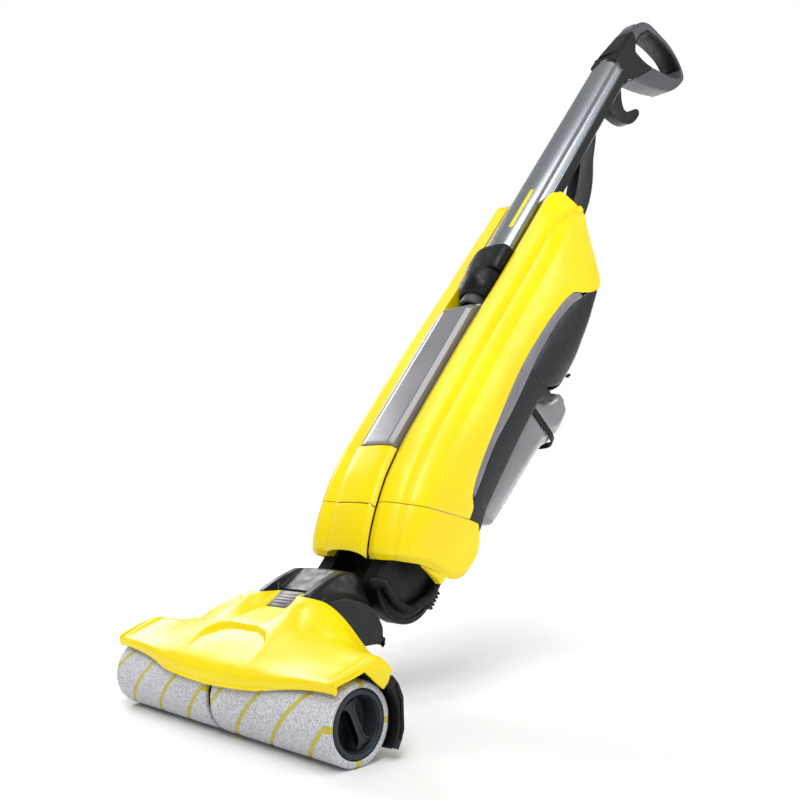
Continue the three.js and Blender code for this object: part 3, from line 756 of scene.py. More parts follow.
@dataclass
class Hood(Assembly):
    """Yellow hood over the rollers, with its release button."""

    body: str = "hood"
    place: Matrix = field(default_factory=lambda: HEAD)
    half: float = 157.0
    lip_z: Curve = profile((0, 46), (60, 50), (120, 56), (157, 59))
    back_y: Curve = profile((0, 42), (40, 42), (56, 50), (80, 53), (110, 49), (140, 38), (157, 26))
    dip: Path = path2([(-33, 46), (-31, 60), (-16, 75), (4, 88), (20, 92.3), (34, 95.2), (42, 99.2)])
    middle: Path = path2([(-33, 46), (-31, 60), (-16, 75), (4, 88), (22, 98), (34, 105), (42, 108)])
    side: Path = path2([(-27, 59), (-26, 65), (-15, 69), (-2, 73), (10, 77), (18, 74), (26, 66)])
    slot_front: float = 38.2
    slot_narrow: float = 13.4
    slot_taper: float = 0.225
    scoop_depth: float = 4.2
    tongue_reach: float = 18.0

    def build(self) -> None:
        """Makes the hood skin, its end walls and the ribbed button."""
        skin = facing(sheet(210, 72, self.point), (0, 0, 0))
        self.cut_button_slot(skin)
        self.piece("hood_skin", skin, Slot.HOOD, ["roller_hood"], wall=2.4, bevel=0.5)
        wall = [(-27.5, 61.5), (-26, 65.0), (-15, 68.6), (-2, 72.8), (9, 76.6), (18, 73.6), (25.4, 66),
                (22, 58),
                (17, 53.5), (6, 62), (-3, 69.4), (-11, 65.6), (-21, 61.6)]
        end = prism(wall, 154.2, 156.8)
        for vert in end.verts:
            vert.co.x -= self.nose(vert.co.y)
        self.pair("hood_end", end, Slot.HOOD, bevel=0.8)
        self.button()

    def cut_button_slot(self, bm: Mesh) -> None:
        """Opens the skin where the button sits: a slot that widens to the rear.

        Args:
            bm: the hood skin.
        """
        cuts = [((0, self.slot_front, 0), (0, 1, 0))]
        cuts += [((side * self.slot_narrow, self.slot_front, 0), (side, -self.slot_taper, 0)) for side in (-1,
                                                                                                           1)]
        for spot, normal in cuts:
            bmesh.ops.bisect_plane(bm, geom=bm.verts[:] + bm.edges[:] + bm.faces[:], dist=MERGE_MM,
                                   plane_co=spot,
                                   plane_no=normal)
        middles = [(f, f.calc_center_median()) for f in bm.faces]
        inside = [f for f, c in middles if c.y > self.slot_front
                  and abs(c.x) < self.slot_narrow + self.slot_taper * (c.y - self.slot_front)]
        bmesh.ops.delete(bm, geom=inside, context="FACES")

    def point(self, u: float, v: float) -> Vector:
        """Skin position: u runs along the roller, v from the front lip to the rear edge.

        Args:
            u: 0 at the left end, 1 at the right.
            v: 0 at the lip, 1 at the rear.

        Returns:
            The position.
        """
        x = lerp(-self.half, self.half, u)
        size = abs(x)
        w = smoothstep(0.24, 0.8, size / self.half)
        (ym, zm), (ye, ze) = self.middle(v), self.side(v)
        zm = lerp(zm, self.dip(v)[1] + 9.6 * v ** 6, 1 - smoothstep(15, 36, size))
        tongue = self.tongue_reach * (1 - smoothstep(17.4, 26.2, size))
        y = lerp(ym, ye, w) + (self.back_y(size) - lerp(42, 26, w)) * v * v + tongue * v ** 5
        z = lerp(lerp(zm, ze, w), self.lip_z(size), (1 - v) ** 4)
        push = self.relief(size, v)
        y -= push * 0.45
        z += push * 0.9
        drop = smoothstep(148, 157, size)
        z -= 0.5 * drop * drop * (1 - 0.4 * v)
        return Vector((x - math.copysign(self.nose(y) * smoothstep(118, 157, size), x), y, z))

    @staticmethod
    def nose(y: float) -> float:
        """How far the hood's ends draw in towards the front lip."""
        return 6.0 * smoothstep(-4, -30, y)

    def relief(self, x: float, v: float) -> float:
        """Height of the moulded features above the plain skin.

        Args:
            x: distance from the hood's middle.
            v: share from lip to rear.

        Returns:
            The height in millimetres.
        """
        top = 0.5 - 0.11 * (x / 46) ** 4
        scoop = smoothstep(top + 0.012, top - 0.012, v) * smoothstep(0.24, 0.5, v) * smoothstep(47, 43, x)
        pad_x, pad_v = (x - 71) / 27, (v - 0.82) / 0.24
        ring = math.hypot(pad_x, pad_v)
        dimple = math.exp(-((ring - 1.05) / 0.2) ** 2) * smoothstep(0.1, -0.3, pad_v)
        bulge = 1.6 * smoothstep(1.05, 0.4, ring)
        valley = math.exp(-((x - 143.5) / 3.4) ** 2) * smoothstep(0.16, 0.4, v) * smoothstep(0.98, 0.8, v)
        ridge = math.exp(-((x - 149) / 2.2) ** 2) * smoothstep(0.1, 0.3, v) * smoothstep(1.0, 0.8, v)
        lip_end = 69 - 40 * max(0, v - 0.14)
        lip = smoothstep(0.222, 0.21, v) * smoothstep(lip_end, lip_end - 2, x)
        chamfer = 1.6 * smoothstep(0.13, 0.03, v)
        sunk = self.scoop_depth * scoop + 2.0 * dimple + 1.2 * valley + 0.55 * lip + chamfer
        return bulge + 0.9 * ridge - sunk

    def button(self) -> None:
        """Release button with finger ribs."""
        front, back, rise = 39.2, 59.6, 0.545
        outline = [(front, 92.4), (back, 103.6), (back + 0.4, 108.2), (back - 0.8, 109.3),
                   (front + 0.9, 98.4),
                   (front, 97.0)]
        body = prism(outline, -17.2, 17.2)
        for vert in body.verts:
            vert.co.x *= lerp(0.74, 1, (vert.co.y - front) / (back - front))
        grey = PALETTE.special("button_grey", Finish("6A696E", "626166", 0.4, 0.06, 30, 0.5, 0.02))
        self.piece("button_body", body, Slot.GREY, ["hood_release_button"], bevel=0.9, segments=3,
                   material=grey, body="hood_button")
        for i in range(4):
            y = 43.4 + 3.7 * i
            z = 98.4 + (y - front - 0.9) * rise
            rib = [(y - 1.0, z - 1.4), (y + 1.0, z - 0.6), (y + 0.7, z + 1.1), (y - 0.5, z + 0.8)]
            half = 10.4 + 0.9 * i
            self.piece(f"button_rib_{i}", prism(rib, -half, half), Slot.GREY, bevel=0.35, material=grey,
                       body="hood_button")


@dataclass
class HeadDetails(Assembly):
    """Side guards and the neck cover."""

    body: str = "head"
    place: Matrix = field(default_factory=lambda: HEAD)
    guard_radius: float = 32.6
    cover_half: float = 50.0
    flat_share: float = 0.86        # of the half width, where the shoulder turns down

    def build(self) -> None:
        """Makes the guards and the neck cover."""
        turns = [math.radians(a) for a in range(88, -41, -6)]
        arc = [(self.guard_radius * math.cos(a), AXLE_Z + self.guard_radius * math.sin(a)) for a in turns]
        outline = arc + [(33, 8), (37, 15), (39, 24), (38, 46), (33, 56), (27, 62), (14, 66)]
        self.pair("guard", prism(outline, 149.4, 156.4), Slot.BLACK, "side_guard", bevel=0.9)
        rib = [(35.2, 14), (38.2, 22), (37.2, 45), (31, 56), (30, 53), (34.8, 43), (35.6, 24), (33.6, 16)]
        self.pair("guard_rib", prism(rib, 156.2, 157.4), Slot.BLACK, bevel=0.4)
        self.piece("neck_hood", self.neck_cover(), Slot.COVER, ["neck_cover"], wall=3, bevel=0.5)

    def neck_cover(self) -> Mesh:
        """Charcoal cover: a humped middle that folds down to two flared shoulders."""
        middle = path2([(44.5, 100), (45.5, 108), (60, 117.5), (76, 124), (88, 127.4), (99, 126), (110, 115),
                        (118, 98), (124, 80), (125, 62)])
        shoulder = path2([(57, 84), (57.5, 101), (63, 106), (73, 107), (88, 104), (100, 100), (110, 94),
                          (118, 84), (122, 74), (122, 62)])

        def place(u: float, v: float) -> Vector:
            """Position at the shares u and v."""
            across = lerp(-1, 1, u)
            s = abs(across)
            if s > self.flat_share:
                x, down = self.cover_half, smoothstep(self.flat_share, 1.0, s)
            else:
                x, down = self.cover_half * (s / self.flat_share), 0.0
            w = smoothstep(34, 42, x) * (0.86 + 0.14 * smoothstep(42, 50, x))
            (ym, zm), (ye, ze) = middle(v), shoulder(v)
            y, z = lerp(ym, ye, w), lerp(zm, ze, w)
            z -= 1.2 * (min(x, 34) / 34) ** 2
            y = max(y, lerp(62.6, 44, smoothstep(26.4, 28.6, x)))
            z = min(z, 110.4 + 0.62 * (y - 62.6) + 30 * smoothstep(22, 36,
                                                                   x))      # falls to the button's back
            return Vector((math.copysign(x, across), y, lerp(z, 62, down)))

        return facing(sheet(100, 54, place), (0, 85, 70))


@dataclass
class BodyShells(Assembly):
    """Yellow side shells, lower casings and centre covers."""

    top: float = 503.0
    well: float = 29.3
    ridge: float = 40.0
    chamfer: float = 34.0
    gap: float = 0.45           # half the seam's width
    skin: float = 2.6
    front: Curve = profile((-30, -44), (-18, -53), (0, -62), (26, -71), (56, -78), (107, -82), (215, -82),
                           (346, -79), (445, -78), (486, -78), (508, -66))
    half: Curve = profile((-30, 66), (0, 72), (40, 75), (120, 76), (380, 76), (440, 70), (490, 58.5),
                          (508, 54))
    back: Curve = profile((20, 10), (71, 5), (83, -5), (106, -12), (156, -18), (243, -24), (306, -20),
                          (347, -14),
                          (380, -5), (400, 12), (424, 30), (441, 36), (459, 24), (480, 3), (496, -14),
                          (503, -20),
                          (508, -24))
    casing_back: Curve = profile((-8, 16), (3, 25), (21, 36), (41, 37), (56, 30), (66, 19), (72, 12))
    rim: Curve = profile((-60, -27), (-48, -25), (-35, -18), (-11, -6), (10, 0), (20, 2), (26, 6), (33, 15),
                         (37, 24))
    crease_y: Curve = profile((-30, 12), (410, 12.5), (442, 16), (470, 27), (494, 37), (508, 34))
    crease_x: Curve = profile((-30, 58), (0, 60), (380, 58.5), (442, 60), (470, 58), (494, 55), (508, 52.5))

    @staticmethod
    def seam(y: float) -> float:
        """Height of the seam between upper shell and lower casing."""
        return 61 + 0.5 * (y - 8)

    def section(self, z: float, rear: Curve) -> list[Point2]:
        """Corner points (x, y) of one shell, from the well round to the rear edge.

        Args:
            z: height on the body.
            rear: rear edge, y of z.

        Returns:
            Seven corners.
        """
        f, w = self.front(z), self.half(z)
        kx, ky = self.crease_x(z), f + self.crease_y(z)
        side = max(f + self.chamfer, ky + 5)
        back = max(rear(z), side + 2)
        return [(self.well, f + 34), (self.well, f + 5), (self.ridge, f), (kx, ky), (w - 2.5, side - 9),
                (w, side), (w, back)]

    def shell_point(self, u: float, z: float, rear: Curve) -> Point2:
        """(x, y) on the section at a share u of the way round, with rounded and creased corners.

        Args:
            u: share from the well to the rear edge.
            z: height on the body.
            rear: rear edge, y of z.

        Returns:
            The point.
        """
        corners = self.section(z, rear)
        stops = [0, 0.12, 0.2, 0.5, 0.68, 0.8, 1.0]
        i = max(k for k in range(6) if stops[k] <= min(u, 0.9999))
        t = (u - stops[i]) / (stops[i + 1] - stops[i])
        (x0, y0), (x1, y1) = corners[i], corners[i + 1]
        x, y = lerp(x0, x1, t), lerp(y0, y1, t)
        if i == 2:      # the front face is slightly crowned, then dips just before the crease
            y += -1.6 * math.sin(math.pi * t) + 1.9 * smoothstep(0.72, 0.97, t)
        if i == 3:
            y += 1.9 * (1 - smoothstep(0, 0.08, t)) - 1.2 * math.sin(math.pi * t)
        if i == 5:
            x += 1.1 * math.sin(math.pi * t)
        return x, y

    def shell(self, low: Curve, high: Curve, rear: Curve, rows: int) -> Mesh:
        """One side shell between two boundary curves, z of y, that reaches back to the rear edge, y of z.

        Args:
            low: lower boundary.
            high: upper boundary.
            rear: rear edge.
            rows: faces up the shell.

        Returns:
            The open sheet.
        """
        def place(u: float, v: float) -> Vector:
            """Position at the shares u and v."""
            z = 60.0
            for _ in range(4):
                y = self.shell_point(u, z, rear)[1]
                z = lerp(low(y), high(y), v)
            x, y = self.shell_point(u, z, rear)
            return Vector((x, y, z))

        return facing(sheet(100, rows, place), (30, 0, 240))

    def build(self) -> None:
        """Makes both shells, casings, covers and spurs."""
        def top(y: float) -> float:
            """Height of the shell's upper edge at a depth y."""
            return self.top + 8 - 10 * smoothstep(-60, -80, y) - 4 * smoothstep(-36, -20, y)

        upper = self.shell(lambda y: self.seam(y) + self.gap, top, self.back, 130)
        self.pair("shell", upper, Slot.SHELL, "upper_shell", wall=self.skin, bevel=0.6)
        self.pair("shell_flange", self.flange(), Slot.SHELL, wall=1.6, bevel=0.4)
        lower = self.shell(self.rim, lambda y: self.seam(y) - self.gap, self.casing_back, 40)
        for vert in lower.verts:      # the rim rolls under
            under = smoothstep(7, 0, vert.co.z - self.rim(vert.co.y))
            vert.co.x -= 3.2 * under * under * smoothstep(38, 60, vert.co.x)
            vert.co.y += 3.0 * under * under
        self.pair("casing", lower, Slot.SHELL, "lower_casing", wall=self.skin, bevel=0.6)
        spur = [(-13, -8.5), (-4, -8), (8, -8.4), (15, -9), (17.4, -6), (18, 6), (17, 22), (9, 27), (0, 14),
                (-8, 0)]
        fin = prism(spur, 63, 70.4)
        for vert in fin.verts:      # two facets meet in a ridge
            vert.co.x -= 0.28 * max(0.0, 8 - vert.co.y) if vert.co.x > 68 else 0
        self.pair("spur", fin, Slot.SHELL, bevel=1.2, segments=3)
        self.piece("cover_low", self.cover(-25, 18.4), Slot.SHELL, ["front_cover_lower"], wall=self.skin,
                   bevel=0.5)
        self.piece("cover_high", self.cover(19.5, 81.4), Slot.SHELL, ["front_cover_upper"], wall=self.skin,
                   bevel=0.5,
                   body="dirty_tank")

    def flange(self) -> Mesh:
        """Return edge behind the wing of the shell, above the rear casing."""
        def place(u: float, v: float) -> Vector:
            """Position at the shares u and v."""
            z = lerp(434, 499, v)
            return Vector((self.half(z) - 0.8 - 3.2 * u, self.back(z) - 0.6 + 4.6 * u, z))

        return facing(sheet(4, 30, place), (0, 0, 460))

    def cover(self, low: float, high: float) -> Mesh:
        """Crowned centre cover between the two wells.

        Args:
            low: z of the lower edge.
            high: z of the upper edge.

        Returns:
            The open sheet.
        """
        half = 28.4

        def place(u: float, v: float) -> Vector:
            """Position at the shares u and v."""
            x = lerp(-half, half, u)
            share = x / half
            z = lerp(low, high, v)
            if low < 0 and v < 0.3:     # the lower edge arches up at the middle
                z += 2.2 * (1 - share * share) * (1 - v / 0.3)
            edge = smoothstep(0.86, 1, abs(share))
            return Vector((x, self.front(z) - 4.6 * (1 - share ** 4) + 1.2 + 2.4 * edge, z))

        return facing(sheet(36, 24, place), (0, 0, lerp(low, high, 0.5)))


@dataclass
class Tanks(Assembly):
    """Dirty-water tank behind the front window, fresh-water tank at the back, strap and cap."""

    cap_y: float = 77.0
    cap_radius: float = 11.3
    cap_ribs: int = 18
    rib_half: float = 0.8
    rib_rise: float = 0.7
    window_foot: float = 82.3
    window_top: float = 300.0

    def build(self) -> None:
        """Makes both tanks with their fittings."""
        smoke = PALETTE.special("window_smoke", Finish("8A888D", "828085", 0.2, 0.04, 60, 5, 0.003,
                                                       transmission=0.15, coat=0.25))
        self.piece("window", self.window(), Slot.CLEAR, ["dirty_water_tank"], material=smoke, bevel=1.0,
                   segments=3, body="dirty_tank")
        # Near-white glossy material: a painted highlight along the window's left edge and rounded top.
        rim_highlight = PALETTE.special("window_edge_highlight", Finish("E8E8EA", "DADADD", 0.2, 0.05, 30, 1, 0.005,
                                                           coat=0.6))
        self.piece("window_rim_highlight", self.window_rim_highlight(), Slot.CLEAR, material=rim_highlight, body="dirty_tank")
        self.piece("fresh_tank_body", self.fresh(), Slot.CLEAR, ["fresh_water_tank"], body="fresh_tank")
        self.piece("strap", self.strap(), Slot.BLACK, ["tank_strap"], wall=1.6, bevel=0.4, body="fresh_tank")
        cap = [(8, 280), (8, 286.4), (11, 286.8), (11.4, 288), (11.4, 295), (10.6, 297.4), (8.6, 298),
               (0.01, 298)]
        self.piece("cap_body", turned(cap, (0, self.cap_y, 0), "Z"), Slot.GREY, ["fresh_tank_cap"], bevel=0.3,
                   body="fresh_cap")
        for i in range(self.cap_ribs):
            self.piece(f"cap_rib_{i}", self.cap_rib(2 * math.pi * i / self.cap_ribs), Slot.GREY, wall=0.5,
                       body="fresh_cap")

    def cap_rib(self, turn: float) -> Mesh:
        """One finger rib of the cap, at an angle round it.

        Args:
            turn: angle round the cap's axis.

        Returns:
            The open sheet.
        """
        c, s = math.cos(turn), math.sin(turn)

        def place(u: float, v: float) -> Vector:
            """Position at the shares u and v."""
            rise, side = self.rib_rise * math.sin(math.pi * u), lerp(-self.rib_half, self.rib_half, u)
            return Vector((self.cap_radius * c + c * rise - s * side,
                           self.cap_y + self.cap_radius * s + s * rise + c * side, lerp(288.6, 296, v)))

        return facing(sheet(2, 2, place), (0, self.cap_y, 292))

    def window(self) -> Mesh:
        """Faceted tank front: a narrow left facet, the broad middle and a narrow right one."""
        section = [(-26, -50), (-26, -78.6), (-14, -85.4), (20.5, -85.8), (26, -82.6), (26, -50), (0, -50),
                   (-26, -50)]

        def place(u: float, v: float) -> Vector:
            """Position at the shares u and v."""
            x, y = along_corners(section, u)
            z = lerp(self.window_foot, self.window_top, min(1, v * 1.0001))     # the last row reaches the top
            lean = smoothstep(276, self.window_top, z)
            depth = smoothstep(-62, -84, y)
            y += 15 * lean * lean * depth
            return Vector((x, y, z))

        return closed(sheet(112, 60, place))

    def window_rim_highlight(self) -> Mesh:
        """Painted highlight: a thin near-white strip along the left and the rounded top of the window,
        standing in for the glint on its edge.
        """
        route = [(-25.6, -79.6, 90), (-25.6, -79.6, 240), (-25.2, -79.2, 276), (-23, -77, 290),
                 (-14, -72, 299),
                 (4, -70.4, 300.4), (20, -70.4, 300.2)]
        return swept(route, lambda v: 0.9 * smoothstep(0, 0.1, v) + 0.2, 10, 60)

    def fresh(self) -> Mesh:
        """Rear tank: a wedge that swells upward to a rounded shoulder above the strap."""
        back = profile((84, 46), (92, 60), (140, 68), (214, 79), (228, 88), (238, 92.4), (250, 93.2),
                       (268, 91),
                       (280, 87), (286, 80))
        front = profile((84, 14), (240, 14), (250, 36), (286, 62))

        def place(u: float, v: float) -> Vector:
            """Position at the shares u and v."""
            z = lerp(84.4, 286, v)
            b, f = back(z), front(z)
            pinch = 1.6 * math.exp(-((z - 232) / 5) ** 2)
            x, y = superellipse(2 * math.pi * u, 61 - pinch - 3 * smoothstep(276, 286, z) - 2 * smoothstep(94,
                                                                                                           84,
                                                                                                           z),
                                (b - f) / 2 - pinch * 0.4, 5.5)
            return Vector((x, (b + f) / 2 + y, z))

        return closed(sheet(88, 90, place))

    def strap(self) -> Mesh:
        """Band round the sides and back of the tank."""
        def place(u: float, v: float) -> Vector:
            """Position at the shares u and v."""
            x, y = superellipse(lerp(-0.02, 1.02, u) * math.pi, 62.6, 60, 7)
            return Vector((x, 34.6 + y, lerp(228, 236, v)))

        return facing(sheet(80, 3, place), (0, 40, 232))


@dataclass
class RearCasing(Assembly):
    """Black back casing with its side cheeks and the grey trim bands."""

    skin: float = 2.6
    edge: Curve = profile((60, 6), (93, 2), (156, -5), (197, -4), (274, -6), (327, -3), (373, 6), (400, 18),
                          (446, 40))
    back: Curve = profile((250, 64), (297, 73), (340, 76), (369, 72), (430, 53), (446, 42))
    tank_edge: Curve = profile((24, 22), (30, 34), (60, 38), (96, 31), (204, 30.5), (240, 33), (256, 46),
                               (264, 56))

    def build(self) -> None:
        """Makes the hood, cheeks, trims and screws."""
        self.piece("back_casing", self.hood(), Slot.COVER, ["rear_casing"], wall=self.skin, bevel=0.8)
        self.pair("cheek", self.cheek(), Slot.COVER, wall=self.skin, bevel=0.6)
        self.pair("trim", self.trim(), Slot.GREY, "trim_band", wall=self.skin, bevel=0.4)
        for i, (x, z) in enumerate([(-38, 425), (38, 425), (-52, 322), (52, 322)]):
            y = self.back(z) + 0.1
            points = [(3.4, 0), (3.4, 0.9), (2.8, 1.4), (1.2, 1.4), (1.0, 0.6), (0.01, 0.5)]
            screw = turned(points, (0, 0, 0), "Z", 28)
            sunk = 0.7 + 4.5 * (abs(x) > 45)        # the outer screws sit where the casing curves away
            screw.transform(Matrix.Translation((x, y - sunk, z)) @ Matrix.Rotation(-math.pi / 2, 4, "X"))
            self.piece(f"back_screw_{i}", screw, Slot.STEEL)

    def hood(self) -> Mesh:
        """Bulging rear cover above the tank."""
        def place(u: float, v: float) -> Vector:
            """Position at the shares u and v."""
            across = lerp(-1, 1, u)
            s = abs(across)
            low = lerp(300, 256, smoothstep(0.4, 0.95, s))
            z = lerp(low, 446, v)
            w = BodyShells.half(z) - 4.6
            back, edge = self.back(z), self.edge(z)
            x, y = superellipse((1 - s) * math.pi / 2, w, 1, 3.4)
            return Vector((math.copysign(x, across) if s > 1e-6 else 0, lerp(edge, back, y), z))

        return facing(sheet(84, 46, place), (0, 0, 350))

    def cheek(self) -> Mesh:
        """Side strip between the trim band and the rear tank."""
        def place(u: float, v: float) -> Vector:
            """Position at the shares u and v."""
            z = lerp(26, 262, v)
            y0, y1 = self.edge(max(z, 60)) + 0.6, self.tank_edge(z)
            x = BodyShells.half(z) - 4.8 - 3.2 * u * u - 4.5 * smoothstep(0.9, 1, u)
            return Vector((x, lerp(y0, max(y1, y0 + 2), u), z))

        return facing(sheet(16, 60, place), (0, 20, 140))

    def trim(self) -> Mesh:
        """Grey band that follows the shell's rear edge."""
        def place(u: float, v: float) -> Vector:
            """Position at the shares u and v."""
            z = lerp(84, 394, v)
            y0 = BodyShells.back(z) + 1.0
            y1 = max(self.edge(z) - 0.4, y0 + 1.6)
            x = BodyShells.half(z) - 1.2 + 0.5 * math.sin(math.pi * u) - 2.2 * u * smoothstep(0.5, 1, u)
            return Vector((x, lerp(y0, y1, u), z))

        return facing(sheet(8, 80, place), (0, 0, 240))


@dataclass
class JointArea(Assembly):
    """Rounded drum under the body and the hose beside it."""

    radius: float = 41.0
    centre_z: float = -17.0
    hose_radius: float = 4.35
    hose_ribs: int = 62
    rib_height: float = 0.32
    clips: int = 5
    clip_pitch: float = 4.2

    def build(self) -> None:
        """Makes the drum halves, the hose and its clip."""
        side = self.arc(self.radius, -60, 90) + [(self.radius, 34), (-34, 34)]
        self.pair("drum", prism(side, 25.4, 44), Slot.BLACK, bevel=2.2, segments=4)
        rear = self.arc(self.radius, 46, 90) + [(self.radius, 20), (37.5, 20), (37.5, -17), (26, -44)]
        self.piece("drum_rear", prism(rear, -25.6, 25.6), Slot.BLACK, ["joint_drum"], bevel=0.6)
        lip = self.arc(37, -40, 86) + list(reversed(self.arc(35.2, -40, 86)))
        self.pair("drum_lip", prism(lip, 43.6, 45), Slot.BLACK, bevel=0.4)
        route = [(46, -40, -48), (48.4, -34, -43), (49.2, -27, -40.5), (49.2, -8, -44), (49.2, 6, -43),
                 (49.2, 16, -38), (49.2, 22, -28), (49.2, 28, -16), (49, 30, 0), (48, 26, 24), (47, 18, 46)]
        hose = swept(route, lambda v: self.hose_radius + self.rib_height * math.sin(
            v * self.hose_ribs * 2 * math.pi), 22, 560)
        self.piece("hose", hose, Slot.RUBBER, ["suction_hose"])
        for i in range(self.clips):
            z = -21 + self.clip_pitch * i
            self.pair(f"clip_{i}", prism([(32, z), (43, z - 0.4), (43, z + 2.2), (32, z + 2.6)], 40, 46.6),
                      Slot.BLACK, bevel=0.5)

    def arc(self, radius: float, first: int, last: int) -> list[Point2]:
        """Points (y, z) of an arc round the drum's centre, by degrees from straight down to the rear.

        Args:
            radius: distance from the centre.
            first: first angle.
            last: last angle.

        Returns:
            The points.
        """
        turns = [math.radians(a) for a in range(first, last + 1, 5)]
        return [(radius * math.sin(a), self.centre_z - radius * math.cos(a)) for a in turns]


@dataclass
class Handle(Assembly):
    """Collar, aluminium tube, rear channel, hooks and carry handle."""

    tube_half: float = 23.0
    tube_foot: float = 389.0
    tube_top: float = 809.0

    def build(self) -> None:
        """Makes everything from the collar up to the grip."""
        self.piece("collar_bell", self.bell(), Slot.BLACK, ["tube_collar"], bevel=0.6)
        self.piece("collar_block", self.block(), Slot.BLACK, bevel=0.8)
        self.piece("tube_skin", self.tube(), Slot.TUBE, ["handle_tube"], wall=1.8)
        strip = [(-62.2, 402), (-60.6, 402), (-60.6, 816), (-62.2, 816)]
        self.pair("tube_edge", prism(strip, 20.6, 22.4), Slot.TUBE, bevel=0.3)
        self.piece("channel", self.channel(), Slot.BLACK, ["rear_channel"], bevel=0.5)
        self.label_bar()
        hook = flowing([(-39, 764), (-34, 758), (-20, 762), (2, 778), (16, 800), (20, 826), (14, 832),
                        (8, 826),
                        (2, 808), (-10, 796), (-22, 800), (-32, 810), (-39, 816)], 4)
        self.piece("hook_finger", prism(hook, -7.6, 7.6), Slot.BLACK, ["upper_cable_hook"], bevel=1.6,
                   segments=3,
                   body="cable_hook")
        boss = turned([(0.01, 0), (9.4, 0), (9.8, 0.8), (9.8, 3.2), (9, 4), (0.01, 4)], (0, 0, 0), "Z", 40)
        boss.transform(Matrix.Translation((0, -39.4, 790)) @ Matrix.Rotation(-math.pi / 2, 4, "X"))
        self.piece("hook_boss", boss, Slot.BLACK, bevel=0.3, body="cable_hook")
        grab = [(-39.6, 690), (-39.6, 640), (-33, 622), (-18, 588), (-13.4, 560), (-13, 515), (-14, 470),
                (16, 470),
                (17.6, 515), (17, 560), (12, 600), (0, 632), (-18, 660), (-32, 690)]
        self.piece("grab", prism(flowing(grab, 4), -8.6, 8.6), Slot.COVER, ["carry_handle"], bevel=2.4,
                   segments=4)
        gland = [(0.01, 446), (7, 446), (7.2, 449), (6.4, 451.6), (5, 452)]
        gland += [(4.6 - 0.5 * (i % 2) - 0.05 * i, 453 + i * 1.5) for i in range(9)]
        self.piece("gland", turned(gland + [(0.01, 466)], (30, 24, 0), "Z", 40), Slot.RUBBER, ["cord_gland"])

    def bell(self) -> Mesh:
        """Lower part of the collar: a flared ring that narrows to the inner tube."""
        outline = [(15.6, 316), (17, 314.6), (19.5, 316), (24.5, 326), (25.8, 331), (25.8, 348), (24.6, 351),
                   (22.4, 352.6), (22, 369), (15.6, 369)]
        bm = turned(outline, (0, -64, 0), "Z", 80)
        for vert in bm.verts:
            vert.co.x *= 1.04
        return bm

    def block(self) -> Mesh:
        """Upper part of the collar that grips the aluminium tube."""
        size = profile((352, 0.9), (358, 0.98), (364, 1), (384, 1), (389, 0.97), (391, 0.93))

        def place(u: float, v: float) -> Vector:
            """Position at the shares u and v."""
            z = lerp(353, 390, v)
            k = size(z)
            x, y = superellipse(2 * math.pi * u, 27.4 * k, 18.4 * k, 4)
            z += 5 * smoothstep(-50, -86, -66 + y) * v * (1 - (x / 30) ** 2)
            return Vector((x, -67 + y, z))

        return closed(sheet(72, 16, place))

    def tube(self) -> Mesh:
        """Drawn tube: a shallow crowned face with rounded shoulders, cut to a curve at the top."""
        section = path2([(-23, -63), (-23, -69), (-22.4, -73.4), (-19.5, -77.2), (-11, -80.9), (0, -82.4),
                         (11, -80.9), (19.5, -77.2), (22.4, -73.4), (23, -69), (23, -63)])

        def place(u: float, v: float) -> Vector:
            """Position at the shares u and v."""
            x, y = section(u)
            top = self.tube_top + 11 * (1 - (x / self.tube_half) ** 2) * smoothstep(-70, -80, y)
            return Vector((x, y, lerp(self.tube_foot, top, v)))

        return facing(sheet(64, 60, place), (0, -60, 600))

    def channel(self) -> Mesh:
        """Black spine behind the tube."""
        outline = [(-21, -62.7), (21, -62.7), (21.6, -58), (20.4, -47), (17, -42.4), (9, -40), (-9, -40),
                   (-17, -42.4), (-20.4, -47), (-21.6, -58), (-21, -62.7)]

        def place(u: float, v: float) -> Vector:
            """Position at the shares u and v."""
            return Vector((*along_corners(outline, u), lerp(400, 818, v)))

        return closed(sheet(60, 24, place))

    def label_bar(self) -> None:
        """Plain colour bar on the tube's face."""
        def place(u: float, v: float) -> Vector:
            """Position at the shares u and v."""
            x = lerp(6.4, 11.4, u)
            return Vector((x, -82.65 + (x / 11) ** 2 * 1.5, lerp(430, 505, v)))

        bar = PALETTE.special("bar_yellow", Finish("E8E23A", "DED82E", 0.35, 0.05, 40, 1, 0.004))
        self.piece("tube_bar", facing(sheet(6, 30, place), (0, -60, 460)), Slot.SHELL, material=bar,
                   wall=0.25)


